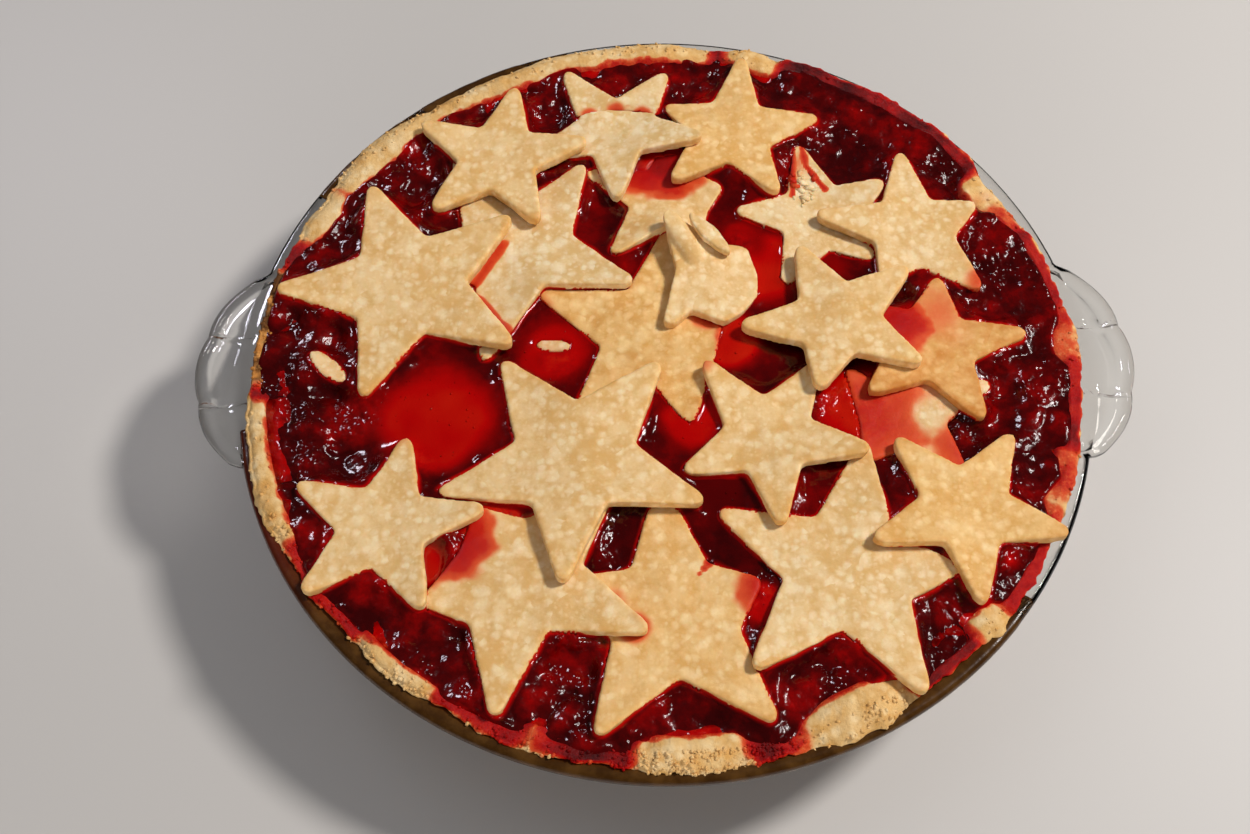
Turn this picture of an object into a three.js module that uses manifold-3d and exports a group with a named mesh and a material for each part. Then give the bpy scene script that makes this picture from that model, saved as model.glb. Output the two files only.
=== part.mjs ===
// A strawberry pie baked in a clear glass dish, topped with loose pastry stars.
// Millimetres, +Z up. The origin is the middle of the dish's flat base, and +X runs
// along the two handles. The dish, the crust, the filling and every star are solids of
// their own, each clear of the next by GAP.
import * as THREE from 'three';
import { mergeVertices } from 'three/addons/utils/BufferGeometryUtils.js';
import Module from 'manifold-3d';

const wasm = await Module();
wasm.setup();

// ---------- driving dimensions ----------

const GAP = 0.3; // air left between two pieces that touch
const SECTORS = 90; // flats round the dish, the crust and the filling's edge

const RIM_RADIUS = 121; // outside of the glass rim
const RIM_HEIGHT = 40; // top of the glass rim above the table
const BASE_RADIUS = 83; // flat base
const GLASS = 5.2; // thickness of the glass base

const HANDLE_REACH = 134.5; // from the middle of the dish to the outside of a handle
const HANDLE_HALF_WIDTH = 31.5; // a handle's run along the rim, to each side of its middle
const HANDLE_ROOT = 118.2; // radius at which a handle grows out of the rim
const HANDLE_THICKNESS = 6;
const HANDLE_BEVEL = 1.5; // softened edges of a handle
const HANDLE_DROP = 0.4; // a handle's top below the top of the rim
const HANDLE_START = 116; // radius that a handle's outline falls back to at its two ends
const HANDLE_FLUTE = 1.3; // depth of the two dips that part a handle's three lobes

const CRUST_FLOOR = 8.3; // top of the bottom crust
const FILLING_LEVEL = 36.6; // syrup level in the middle of the pie
const EDGE_RISE = 2.5; // how much higher the filling stands against the crust
const CHUNK_HEIGHT = 1.9; // strawberry lumps that show between the stars

const STAR_THICKNESS = 3.2;
const LARGE = 38; // centre to tip of the larger cutter
const SMALL = 27.5; // centre to tip of the smaller cutter
const NOTCH = 0.46; // notch radius as a share of the tip radius
const TIP_ROUND = 1.9; // radius of a star's blunt tips
const EDGE_ROUND = 0.9; // softened upper edge of baked pastry

const degrees = THREE.MathUtils.degToRad;
const smooth = (from, to, x) => THREE.MathUtils.smoothstep(x, from, to);
const mix = THREE.MathUtils.lerp;

// ---------- the pastry stars, lowest first ----------
// at: the middle of the star; turn: direction of its arm 0 in degrees from +X, the other
// arms following every 72 degrees. arms: what baking and breaking did to an arm, as
// [length as a share of the cutter's, swing in degrees].

const STARS = [
  { name: 'star_large_front', cutter: LARGE, at: [1, -77], turn: 22, arms: { 0: [0.66, 0] } },
  { name: 'star_large_middle', cutter: LARGE, at: [-1, 9], turn: 13,
    arms: { 0: [0.52, 6], 4: [0.8, -15] } },
  { name: 'star_small_under_back', cutter: SMALL, at: [3, 57.5], turn: 14,
    arms: { 0: [0.6, 0], 1: [0.85, 0], 4: [0.6, 0] } },
  { name: 'star_small_sunken', cutter: SMALL, at: [66, -17], turn: 18,
    arms: { 2: [0.72, -25], 3: [0.7, 0] } },
  { name: 'star_large_front_left', cutter: LARGE, at: [-40, -66.5], turn: 47,
    arms: { 1: [0.62, 0], 2: [0.68, 5] } },
  { name: 'star_large_front_right', cutter: LARGE, at: [47, -65.5], turn: 7,
    arms: { 0: [0.77, -8], 3: [1, 3] } },
  { name: 'star_large_back_left', cutter: LARGE, at: [-43.5, 40], turn: 49,
    arms: { 0: [0.94, 6], 3: [1.06, -6] } },
  { name: 'star_small_flaky', cutter: SMALL, at: [48, 50], turn: 28,
    arms: { 0: [0.87, 3], 2: [0.92, 3], 4: [0.8, -3] } },
  { name: 'star_small_right', cutter: SMALL, at: [76.5, 3.5], turn: 6.5,
    arms: { 1: [0.85, 1], 3: [0.93, -3] } },
  { name: 'star_large_left', cutter: LARGE, at: [-74.5, 25], turn: 38, arms: {} },
  { name: 'star_small_left_front', cutter: SMALL, at: [-76, -51.5], turn: 8.5, arms: {} },
  { name: 'star_small_back_right', cutter: SMALL, at: [23, 81.5], turn: 9.5,
    arms: { 2: [0.85, 0] } },
  { name: 'star_small_right_front', cutter: SMALL, at: [79.5, -49], turn: 55.5, arms: {} },
  { name: 'star_small_right_back', cutter: SMALL, at: [75, 43], turn: 23,
    arms: { 0: [0.78, 0], 1: [1.06, -3], 2: [1.06, 2], 3: [0.75, 0] } },
  { name: 'star_small_folded', cutter: SMALL, at: [16, 25], turn: 52,
    arms: { 0: [0.56, 0], 1: [0.96, 0], 2: [0.78, 28], 3: [0.52, 8], 4: [0.46, 0] } },
  { name: 'star_small_middle_right', cutter: SMALL, at: [28.5, -25.5], turn: 57.5,
    arms: { 1: [1.05, -3], 2: [0.95, 2] } },
  { name: 'star_small_back', cutter: SMALL, at: [-13, 82.5], turn: 54, arms: { 4: [1, 4] },
    crack: { crown: 8, at: 1, width: 7.8, gap: 1 } },
  { name: 'star_small_back_left', cutter: SMALL, at: [-49, 71], turn: 9, arms: {} },
  { name: 'star_large_centre', cutter: LARGE, at: [-25.5, -32], turn: 50.5, arms: {} },
  { name: 'star_small_centre_right', cutter: SMALL, at: [49.5, 10], turn: 37.5,
    arms: { 3: [0.86, 0] } },
];

// Scraps of pastry that lie by themselves: where, how long and wide, which way, how thick.
const SCRAPS = [
  { name: 'scrap_left', at: [-95.5, -1], length: 14, width: 6, turn: -38, thickness: 2.4 },
  { name: 'scrap_middle', at: [-31.5, 6], length: 11, width: 4.5, turn: -3, thickness: 2.2 },
  { name: 'scrap_folded_tip', at: [14.2, 39.6], length: 18, width: 6, turn: 129, thickness: 2.4 },
];

// ---------- the baked rim of the crust, round the dish ----------
// Stretches by compass angle in degrees, each with its inner and outer radius and the
// height of its top. Between them the rim is low, thin and soaked.

const LOW_RIM = { inner: 113.6, outer: 117.4, top: 40.8 };
const RIM_STRETCHES = [
  { from: 35, to: 70, inner: 114.6, outer: 118, top: 40.5 },
  { from: 71, to: 79, inner: 113.5, outer: 119.8, top: 42.8 },
  { from: 83, to: 109, inner: 111.5, outer: 119.6, top: 43.2 },
  { from: 110, to: 129, inner: 111, outer: 118.2, top: 42.6 },
  { from: 131, to: 148, inner: 110.4, outer: 120.4, top: 43 },
  { from: 149, to: 160, inner: 110.8, outer: 118.6, top: 42 },
  { from: 163, to: 184, inner: 114.4, outer: 117.6, top: 41 },
  { from: 187, to: 208, inner: 114.2, outer: 120.2, top: 43 },
  { from: 226, to: 239, inner: 113.8, outer: 118.6, top: 42.4 },
  { from: 250, to: 255, inner: 114, outer: 118.6, top: 42 },
  { from: 265, to: 280, inner: 112.6, outer: 118.4, top: 42.6 },
  { from: 288, to: 300, inner: 110.8, outer: 119.8, top: 43.2 },
  { from: 313, to: 318, inner: 114, outer: 119.8, top: 42.6 },
  { from: 334, to: 346, inner: 113.6, outer: 117.8, top: 41.6 },
  { from: 0, to: 5, inner: 114, outer: 119.6, top: 42.2 },
  { from: 22, to: 34, inner: 111, outer: 116.8, top: 41.8 },
];
const STRETCH_FADE = 2; // degrees over which one stretch turns into the next

// ---------- helpers ----------

// A fixed scatter of values from 0 to 1, one for each whole-number cell.
function cellValue(i, j) {
  const s = Math.sin(i * 127.1 + j * 311.7) * 43758.5453;
  return s - Math.floor(s);
}

// Smooth bumps from -1 to 1, about one to each cell of the given size.
function bumps(x, y, cell) {
  const u = x / cell;
  const v = y / cell;
  const i = Math.floor(u);
  const j = Math.floor(v);
  const a = smooth(0, 1, u - i);
  const b = smooth(0, 1, v - j);
  const near = mix(cellValue(i, j), cellValue(i + 1, j), a);
  const far = mix(cellValue(i, j + 1), cellValue(i + 1, j + 1), a);
  return 2 * mix(near, far, b) - 1;
}

// How far angle a lies from angle b, both in degrees.
function apart(a, b) {
  return Math.abs(((a - b + 540) % 360) - 180);
}

function geometryFrom(points, triangles) {
  const geometry = new THREE.BufferGeometry();
  geometry.setAttribute('position', new THREE.Float32BufferAttribute(points.flat(), 3));
  geometry.setIndex(triangles.flat());
  return geometry;
}

// A round solid whose section may change with the angle. section(angle) gives [radius,
// height] pairs that start on the axis underneath and end on the axis on top.
function revolve(section, sectors) {
  const rows = [];
  for (let k = 0; k < sectors; k += 1) rows.push(section((360 * k) / sectors));
  const last = rows[0].length - 1;
  const points = [[0, 0, rows[0][0][1]], [0, 0, rows[0][last][1]]];
  rows.forEach((row, k) => {
    const a = degrees((360 * k) / sectors);
    for (let j = 1; j < last; j += 1) {
      points.push([row[j][0] * Math.cos(a), row[j][0] * Math.sin(a), row[j][1]]);
    }
  });
  const at = (k, j) => 2 + (k % sectors) * (last - 1) + (j - 1);
  const triangles = [];
  for (let k = 0; k < sectors; k += 1) {
    triangles.push([0, at(k + 1, 1), at(k, 1)]);
    for (let j = 1; j < last - 1; j += 1) {
      triangles.push([at(k, j), at(k + 1, j), at(k, j + 1)]);
      triangles.push([at(k + 1, j), at(k + 1, j + 1), at(k, j + 1)]);
    }
    triangles.push([1, at(k, last - 1), at(k + 1, last - 1)]);
  }
  return geometryFrom(points, triangles);
}

function solid(geometry) {
  const bare = geometry.index ? geometry.clone() : geometry;
  bare.deleteAttribute('normal');
  bare.deleteAttribute('uv');
  const merged = mergeVertices(bare, 1e-4);
  return new wasm.Manifold(new wasm.Mesh({
    numProp: 3,
    vertProperties: merged.attributes.position.array,
    triVerts: new Uint32Array(merged.index.array),
  }));
}

function geometryOf(manifold) {
  const mesh = manifold.getMesh();
  const geometry = new THREE.BufferGeometry();
  geometry.setAttribute('position', new THREE.BufferAttribute(mesh.vertProperties, 3));
  geometry.setIndex(new THREE.BufferAttribute(mesh.triVerts, 1));
  return geometry;
}

// ---------- the glass dish ----------

// Section of the dish: under the base, up the outside, over the rim and down the inside.
const DISH_SECTION = [
  [0, 0], [BASE_RADIUS, 0], [88.4, 3.6], [112.6, 33.4], [118.8, 36],
  [RIM_RADIUS, 38], [120.4, RIM_HEIGHT], [118.4, RIM_HEIGHT],
  [112.6, 38.2], [109, 36.4], [85, 7.2], [81.5, GLASS], [0, GLASS],
];

// Outside of a handle at a distance y along the rim from its middle.
function handleEdge(y) {
  const run = Math.abs(y) / (HANDLE_HALF_WIDTH + 1.5);
  const bow = Math.pow(1 - Math.pow(run, 2.2), 0.75);
  const lobe = Math.pow(Math.abs(Math.cos((1.5 * Math.PI * y) / HANDLE_HALF_WIDTH)), 0.7);
  const fade = 1 - smooth(0.7, 1, run);
  return HANDLE_START + (HANDLE_REACH - HANDLE_START) * bow - HANDLE_FLUTE * (1 - lobe) * fade;
}

// A solid glass tab with three lobes. side is 1 for the +X handle and -1 for the other.
function handle(side) {
  const steps = 24;
  const outline = [];
  for (let i = 0; i <= steps; i += 1) {
    const y = HANDLE_HALF_WIDTH * ((2 * i) / steps - 1);
    outline.push(new THREE.Vector2(handleEdge(y), y));
  }
  const reach = Math.asin(HANDLE_HALF_WIDTH / HANDLE_ROOT);
  for (let i = 6; i >= 0; i -= 1) {
    const a = reach * (i / 3 - 1);
    outline.push(new THREE.Vector2(HANDLE_ROOT * Math.cos(a), HANDLE_ROOT * Math.sin(a)));
  }
  const tab = new THREE.ExtrudeGeometry(new THREE.Shape(outline), {
    depth: HANDLE_THICKNESS - 2 * HANDLE_BEVEL,
    bevelEnabled: true,
    bevelThickness: HANDLE_BEVEL,
    bevelSize: HANDLE_BEVEL,
    bevelOffset: -HANDLE_BEVEL,
    bevelSegments: 1,
  });
  tab.translate(0, 0, RIM_HEIGHT - HANDLE_DROP - HANDLE_THICKNESS + HANDLE_BEVEL);
  if (side < 0) tab.rotateZ(Math.PI);
  return solid(tab);
}

function glassDish() {
  const bowl = solid(revolve(() => DISH_SECTION, SECTORS));
  return geometryOf(bowl.add(handle(1)).add(handle(-1)));
}

// ---------- the crust ----------

// Height of the glass flange that the crust's rim rests on.
function flangeTop(radius) {
  return radius < 118.4 ? 38.2 + (radius - 112.6) * 0.31 : RIM_HEIGHT;
}

function rimAt(angle) {
  const rim = { ...LOW_RIM };
  for (const stretch of RIM_STRETCHES) {
    const middle = (stretch.from + stretch.to) / 2;
    const half = (stretch.to - stretch.from) / 2;
    const off = apart(angle, middle);
    const weight = 1 - smooth(half - STRETCH_FADE, half + STRETCH_FADE, off);
    for (const key of ['inner', 'outer', 'top']) rim[key] = mix(rim[key], stretch[key], weight);
  }
  rim.inner += 0.6 * bumps(angle, 3, 7);
  rim.outer += 0.7 * bumps(angle, 8, 6);
  rim.top += 0.5 * bumps(angle, 5, 5) * smooth(41, 42, rim.top);
  return rim;
}

// Heights of the crust's inner lip, where the filling meets it.
const lipHeight = (rim) => rim.top - 1.1;

function crustSection(angle) {
  const rim = rimAt(angle);
  const under = flangeTop(rim.outer) + GAP + 0.2;
  return [
    [0, GLASS + GAP], [81.3, GLASS + GAP], [84.7, 7.5], [108.7, 36.7], [112.4, 38.55],
    [rim.outer - 0.6, under], [rim.outer, under + 0.5],
    [mix(rim.outer, rim.inner, 0.25), rim.top],
    [mix(rim.outer, rim.inner, 0.75), rim.top - 0.2],
    [rim.inner, lipHeight(rim)], [rim.inner - 4, 39],
    [105.8, 37.7], [82.4, 9.3], [80, CRUST_FLOOR], [0, CRUST_FLOOR],
  ];
}

function pieCrust() {
  return revolve(crustSection, SECTORS);
}

// ---------- the filling ----------

// Where the syrup stands smooth, with no fruit showing through it: [x, y, radius].
const POOLS = [
  [-63, -14, 17], [31, 31, 12], [7, -21, 10], [71, 10, 9], [23, 7, 10], [3, 70, 10],
];

function fillingLevel(x, y) {
  const r = Math.hypot(x, y);
  const calm = POOLS.reduce((least, [px, py, reach]) => Math.min(
    least, smooth(reach - 4, reach + 3, Math.hypot(x - px, y - py))), 1);
  const fruit = mix(0.25, 1, smooth(60, 88, r)) * calm;
  const chunks = 0.65 * bumps(x + 40, y, 13) + 0.35 * bumps(x, y + 70, 7);
  return FILLING_LEVEL + EDGE_RISE * smooth(92, 110, r) + CHUNK_HEIGHT * (chunks - 0.15) * fruit;
}

// Triangles between two rings of point numbers, the inner one first, seen from above.
function stitch(inner, outer) {
  const triangles = [];
  let i = 0;
  let j = 0;
  while (i < inner.length || j < outer.length) {
    const a = inner[i % inner.length];
    const b = outer[j % outer.length];
    if ((i + 1) / inner.length < (j + 1) / outer.length) {
      triangles.push([a, b, inner[(i + 1) % inner.length]]);
      i += 1;
    } else {
      triangles.push([a, b, outer[(j + 1) % outer.length]]);
      j += 1;
    }
  }
  return triangles;
}

function strawberryFilling() {
  const points = [];
  const triangles = [];
  const ring = (count, place) => Array.from({ length: count }, (_, k) => {
    const angle = (360 * k) / count;
    const [r, z] = place(angle);
    points.push([r * Math.cos(degrees(angle)), r * Math.sin(degrees(angle)), z]);
    return points.length - 1;
  });
  const level = (angle, r) => fillingLevel(r * Math.cos(degrees(angle)), r * Math.sin(degrees(angle)));
  const edge = (angle) => rimAt(angle).inner - 0.6;
  const lip = (angle) => lipHeight(rimAt(angle));

  // Underside, from the middle of the pie out and up the crust to its lip.
  const bottom = [
    ring(SECTORS, () => [79.9, CRUST_FLOOR + GAP + 0.05]),
    ring(SECTORS, () => [82.1, 9.7]),
    ring(SECTORS, () => [105.4, 38]),
    ring(SECTORS, (a) => [rimAt(a).inner - 4.1, 39.35]),
    ring(SECTORS, (a) => [edge(a), lip(a) + 0.2]),
  ];
  const shore = ring(SECTORS, (a) => [edge(a), lip(a) + 0.8]);

  // Top, from the edge in, with fewer points towards the middle, where stars cover it.
  const top = [shore, ring(SECTORS, (a) => [rimAt(a).inner - 4.2, Math.max(40, level(a, 109))])];
  for (const r of [104, 98.5]) top.push(ring(SECTORS, (a) => [r, Math.max(level(a, r), 38.8)]));
  for (const r of [92, 85, 77, 69]) top.push(ring(SECTORS / 2, (a) => [r, level(a, r)]));
  for (const r of [60, 50, 39, 27, 13]) top.push(ring(SECTORS / 3, (a) => [r, level(a, r)]));

  const fan = (hub, first, reversed) => first.forEach((point, k) => {
    const next = first[(k + 1) % first.length];
    triangles.push(reversed ? [hub, next, point] : [hub, point, next]);
  });
  points.push([0, 0, CRUST_FLOOR + GAP + 0.05], [0, 0, fillingLevel(0, 0)]);
  fan(points.length - 2, bottom[0], true);
  fan(points.length - 1, top[top.length - 1], false);
  for (let k = 0; k + 1 < bottom.length; k += 1) {
    for (const [a, b, c] of stitch(bottom[k], bottom[k + 1])) triangles.push([a, c, b]);
  }
  for (const [a, b, c] of stitch(bottom[bottom.length - 1], shore)) triangles.push([a, c, b]);
  for (let k = 0; k + 1 < top.length; k += 1) triangles.push(...stitch(top[k + 1], top[k]));
  return geometryFrom(points, triangles);
}

// ---------- what the pastry lies on ----------

// The highest surface so far over every small square of the pie.
class Relief {
  constructor(reach, step) {
    this.reach = reach;
    this.step = step;
    this.count = Math.round((2 * reach) / step) + 1;
    this.heights = new Float32Array(this.count * this.count);
  }

  cell(value) {
    return (value + this.reach) / this.step;
  }

  // Calls visit(i, j, weights) for each square whose middle lies in a triangle. The weights
  // say how near that middle is to each of the triangle's corners.
  over(a, b, c, visit) {
    const area = (b[0] - a[0]) * (c[1] - a[1]) - (b[1] - a[1]) * (c[0] - a[0]);
    if (Math.abs(area) < 1e-9) return;
    const span = (k) => [
      Math.ceil(this.cell(Math.min(a[k], b[k], c[k]))),
      Math.floor(this.cell(Math.max(a[k], b[k], c[k]))),
    ];
    const [i0, i1] = span(0);
    const [j0, j1] = span(1);
    for (let j = j0; j <= j1; j += 1) {
      for (let i = i0; i <= i1; i += 1) {
        const x = i * this.step - this.reach;
        const y = j * this.step - this.reach;
        const v = ((x - a[0]) * (c[1] - a[1]) - (y - a[1]) * (c[0] - a[0])) / area;
        const w = ((b[0] - a[0]) * (y - a[1]) - (b[1] - a[1]) * (x - a[0])) / area;
        if (v >= 0 && w >= 0 && v + w <= 1) visit(i, j, [1 - v - w, v, w]);
      }
    }
  }

  // Raises the surface to a piece that now lies there.
  stamp(geometry, shift) {
    const p = geometry.attributes.position;
    const at = (n) => [p.getX(n) + shift[0], p.getY(n) + shift[1], p.getZ(n)];
    for (let n = 0; n < geometry.index.count; n += 3) {
      const corner = [0, 1, 2].map((k) => at(geometry.index.getX(n + k)));
      this.over(...corner, (i, j, weights) => {
        const z = weights.reduce((sum, w, k) => sum + w * corner[k][2], 0);
        const k = j * this.count + i;
        this.heights[k] = Math.max(this.heights[k], z);
      });
    }
  }

  // Highest point within a few squares of square (i, j).
  highest(i, j, squares) {
    let best = 0;
    for (let b = j - squares; b <= j + squares; b += 1) {
      for (let a = i - squares; a <= i + squares; a += 1) {
        best = Math.max(best, this.heights[b * this.count + a]);
      }
    }
    return best;
  }

  near(x, y, distance) {
    return this.highest(
      Math.round(this.cell(x)), Math.round(this.cell(y)), Math.round(distance / this.step));
  }
}

// ---------- pastry cut from the rolled sheet ----------

// Where a line from a point touches a circle, passing it on the left (side 1) or the right
// (side -1).
function touchPoint(from, centre, radius, side) {
  const [dx, dy] = [centre[0] - from[0], centre[1] - from[1]];
  const distance = Math.hypot(dx, dy);
  const length = Math.sqrt(distance ** 2 - radius ** 2);
  const angle = Math.atan2(dy, dx) + side * Math.asin(radius / distance);
  return [from[0] + length * Math.cos(angle), from[1] + length * Math.sin(angle)];
}

// Outline of a star about its own middle, tips rounded, as [x, y] pairs counterclockwise.
function starOutline({ cutter, turn, arms }) {
  const corner = (reach, angle) => [
    reach * Math.cos(degrees(angle)), reach * Math.sin(degrees(angle))];
  const outline = [];
  for (let k = 0; k < 5; k += 1) {
    const [share, swing] = arms[k] || [1, 0];
    const axis = turn + 72 * k;
    const tip = corner(cutter * share, axis + swing);
    const centre = corner(cutter * share - TIP_ROUND, axis + swing);
    const before = corner(cutter * NOTCH, axis - 36);
    const after = corner(cutter * NOTCH, axis + 36);
    const rising = touchPoint(before, centre, TIP_ROUND, -1);
    const falling = touchPoint(after, centre, TIP_ROUND, 1);
    if (cutter === LARGE) outline.push(rising.map((v, c) => mix(v, before[c], 0.5)));
    outline.push(rising, tip, falling);
    if (cutter === LARGE) outline.push(falling.map((v, c) => mix(v, after[c], 0.5)));
    outline.push(after);
  }
  return outline;
}

// The part of an outline above (side 1) or below (side -1) an arched crack.
function besideCrack(outline, { crown, at, width, gap }, side) {
  const crackAt = (x) => crown - ((x - at) / width) ** 2 + (side * gap) / 2;
  const beyond = ([x, y]) => side * (y - crackAt(x)) > 0;
  const kept = [];
  outline.forEach((point, k) => {
    const next = outline[(k + 1) % outline.length];
    if (beyond(point)) kept.push(point);
    if (beyond(point) !== beyond(next)) {
      let from = 0;
      let to = 1;
      for (let step = 0; step < 20; step += 1) {
        const half = (from + to) / 2;
        const probe = point.map((v, c) => mix(v, next[c], half));
        if (beyond(probe) === beyond(point)) from = half;
        else to = half;
      }
      const crossing = point.map((v, c) => mix(v, next[c], from));
      crossing.leaving = beyond(point);
      kept.push(crossing);
    }
  });
  const start = kept.findIndex((point) => point.leaving);
  const turned = [...kept.slice(start + 1), ...kept.slice(0, start + 1)];
  const [left, right] = [turned[turned.length - 1], turned[0]];
  for (const share of [0.2, 0.4, 0.6, 0.8]) {
    const x = mix(left[0], right[0], share);
    turned.push([x, crackAt(x)]);
  }
  return turned;
}

// An oval scrap with uneven edges.
function scrapOutline({ length, width, turn }) {
  return Array.from({ length: 8 }, (_, k) => {
    const a = (Math.PI * k) / 4;
    const ragged = 0.5 + 0.08 * (cellValue(k, length) - 0.5);
    const [u, v] = [length * ragged * Math.cos(a), width * ragged * Math.sin(a)];
    const t = degrees(turn);
    return [u * Math.cos(t) - v * Math.sin(t), u * Math.sin(t) + v * Math.cos(t)];
  });
}

// Each corner of an outline moved in by a distance, square to its two edges.
function insetOutline(outline, distance) {
  const count = outline.length;
  return outline.map((point, k) => {
    const before = outline[(k + count - 1) % count];
    const after = outline[(k + 1) % count];
    const inward = (a, b) => {
      const length = Math.hypot(b[0] - a[0], b[1] - a[1]);
      return [-(b[1] - a[1]) / length, (b[0] - a[0]) / length];
    };
    const [m, n] = [inward(before, point), inward(point, after)];
    const sum = [m[0] + n[0], m[1] + n[1]];
    const scale = (2 * distance) / Math.max(0.8, sum[0] ** 2 + sum[1] ** 2);
    return [point[0] + sum[0] * scale, point[1] + sum[1] * scale];
  });
}

// A sheet of soft pastry laid on what is already there: it sags between what holds it up
// and never goes into it. Gives the height of its underside at each of its points.
function drape(sheet, faces, place, relief) {
  const neighbours = sheet.map(() => new Set());
  for (const face of faces) {
    face.forEach((a, k) => neighbours[a].add(face[(k + 1) % 3]).add(face[(k + 2) % 3]));
  }
  const world = sheet.map(([x, y]) => [x + place[0], y + place[1]]);
  const touches = [];
  for (const face of faces) {
    relief.over(...face.map((n) => world[n]), (i, j, weights) => {
      const norm = weights.reduce((sum, w) => sum + w * w, 0);
      touches.push({ face, weights, norm, floor: relief.highest(i, j, 1) + GAP });
    });
  }
  const heights = world.map(([x, y]) => relief.near(x, y, 1.5) + GAP);
  const lift = () => touches.forEach(({ face, weights, norm, floor }) => {
    const z = face.reduce((sum, n, k) => sum + weights[k] * heights[n], 0);
    if (z < floor) face.forEach((n, k) => { heights[n] += ((floor - z) * weights[k]) / norm; });
  });
  for (let pass = 0; pass < 40; pass += 1) {
    const eased = heights.map((h, n) => {
      const near = [...neighbours[n]];
      return mix(h, near.reduce((sum, k) => sum + heights[k], 0) / near.length, 0.3) - 0.05;
    });
    eased.forEach((h, n) => { heights[n] = h; });
    lift();
  }
  for (let pass = 0; pass < 60; pass += 1) lift();
  return heights;
}

// A piece of pastry of the given outline and thickness, laid at a place on the pie. hub
// is a point that sees the whole outline.
function pastry(outline, hub, thickness, place, relief) {
  const count = outline.length;
  const half = outline.map((point) => point.map((v, c) => mix(hub[c], v, 0.5)));
  const sheet = [hub, ...half, ...outline];
  const ring = (start, k) => start + (k % count);
  const band = (inner, outer, k) => [
    [ring(inner, k), ring(outer, k), ring(outer, k + 1)],
    [ring(inner, k), ring(outer, k + 1), ring(inner, k + 1)],
  ];
  const faces = [];
  for (let k = 0; k < count; k += 1) {
    faces.push([0, ring(1, k), ring(1, k + 1)], ...band(1, 1 + count, k));
  }
  const under = drape(sheet, faces, place, relief);

  const points = sheet.map(([x, y], n) => [x, y, under[n]]);
  const upper = points.length;
  const raised = [hub, ...half].map(([x, y], n) => [x, y, under[n] + thickness]);
  const shoulder = insetOutline(outline, EDGE_ROUND)
    .map(([x, y], k) => [x, y, under[1 + count + k] + thickness - 0.15]);
  const side = outline.map(([x, y], k) => [x, y, under[1 + count + k] + thickness - EDGE_ROUND]);
  points.push(...raised, ...shoulder, ...side);

  const triangles = faces.map(([a, b, c]) => [a, c, b]);
  const top = { ring: upper + 1, shoulder: upper + 1 + count, side: upper + 1 + 2 * count };
  for (let k = 0; k < count; k += 1) {
    triangles.push([upper, ring(top.ring, k), ring(top.ring, k + 1)]);
    triangles.push(...band(top.ring, top.shoulder, k));
    triangles.push(...band(top.shoulder, top.side, k));
    triangles.push(...band(top.side, 1 + count, k));
  }
  return geometryFrom(points, triangles);
}

// ---------- the pie ----------

const glass = new THREE.MeshStandardMaterial({ color: 0xdfe6e4, roughness: 0.05, metalness: 0 });
const bakedCrust = new THREE.MeshStandardMaterial({ color: 0xd9b27c, roughness: 0.75, metalness: 0 });
const strawberry = new THREE.MeshStandardMaterial({ color: 0x7a0a12, roughness: 0.15, metalness: 0 });
const starPastry = new THREE.MeshStandardMaterial({ color: 0xe3c795, roughness: 0.7, metalness: 0 });

const pie = new THREE.Group();
pie.name = 'strawberry_pie';
const relief = new Relief(RIM_RADIUS + 18, 0.75);

function add(name, geometry, material, place = [0, 0]) {
  const mesh = new THREE.Mesh(geometry, material);
  mesh.name = name;
  mesh.position.set(place[0], place[1], 0);
  pie.add(mesh);
  relief.stamp(geometry, place);
}

add('glass_dish', glassDish(), glass);
add('pie_crust', pieCrust(), bakedCrust);
add('strawberry_filling', strawberryFilling(), strawberry);

for (const star of STARS) {
  const outline = starOutline(star);
  if (star.crack) {
    const halves = [['upper', 1, [0.3, 11.2]], ['lower', -1, [0, -2]]];
    for (const [half, side, hub] of halves) {
      const piece = besideCrack(outline, star.crack, side);
      const shape = pastry(piece, hub, STAR_THICKNESS, star.at, relief);
      add(`${star.name}_${half}`, shape, starPastry, star.at);
    }
  } else {
    const shape = pastry(outline, [0, 0], STAR_THICKNESS, star.at, relief);
    add(star.name, shape, starPastry, star.at);
  }
}
for (const scrap of SCRAPS) {
  const shape = pastry(scrapOutline(scrap), [0, 0], scrap.thickness, scrap.at, relief);
  add(scrap.name, shape, starPastry, scrap.at);
}

export default pie;
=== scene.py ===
# %% [markdown]
# # A strawberry pie with pastry stars
# The pie was baked in a clear glass dish with two tab handles. A thin crust lines the
# dish, a dark strawberry filling reaches to its rim, and loose stars cut from rolled
# pastry lie on top, the lowest of them half drowned in syrup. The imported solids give
# every piece its place. This lesson gives them their baked, wet and glassy surfaces.

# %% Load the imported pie
import math

import bmesh
import bpy
import numpy as np
from mathutils import Matrix, Vector
from mathutils.bvhtree import BVHTree


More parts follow.
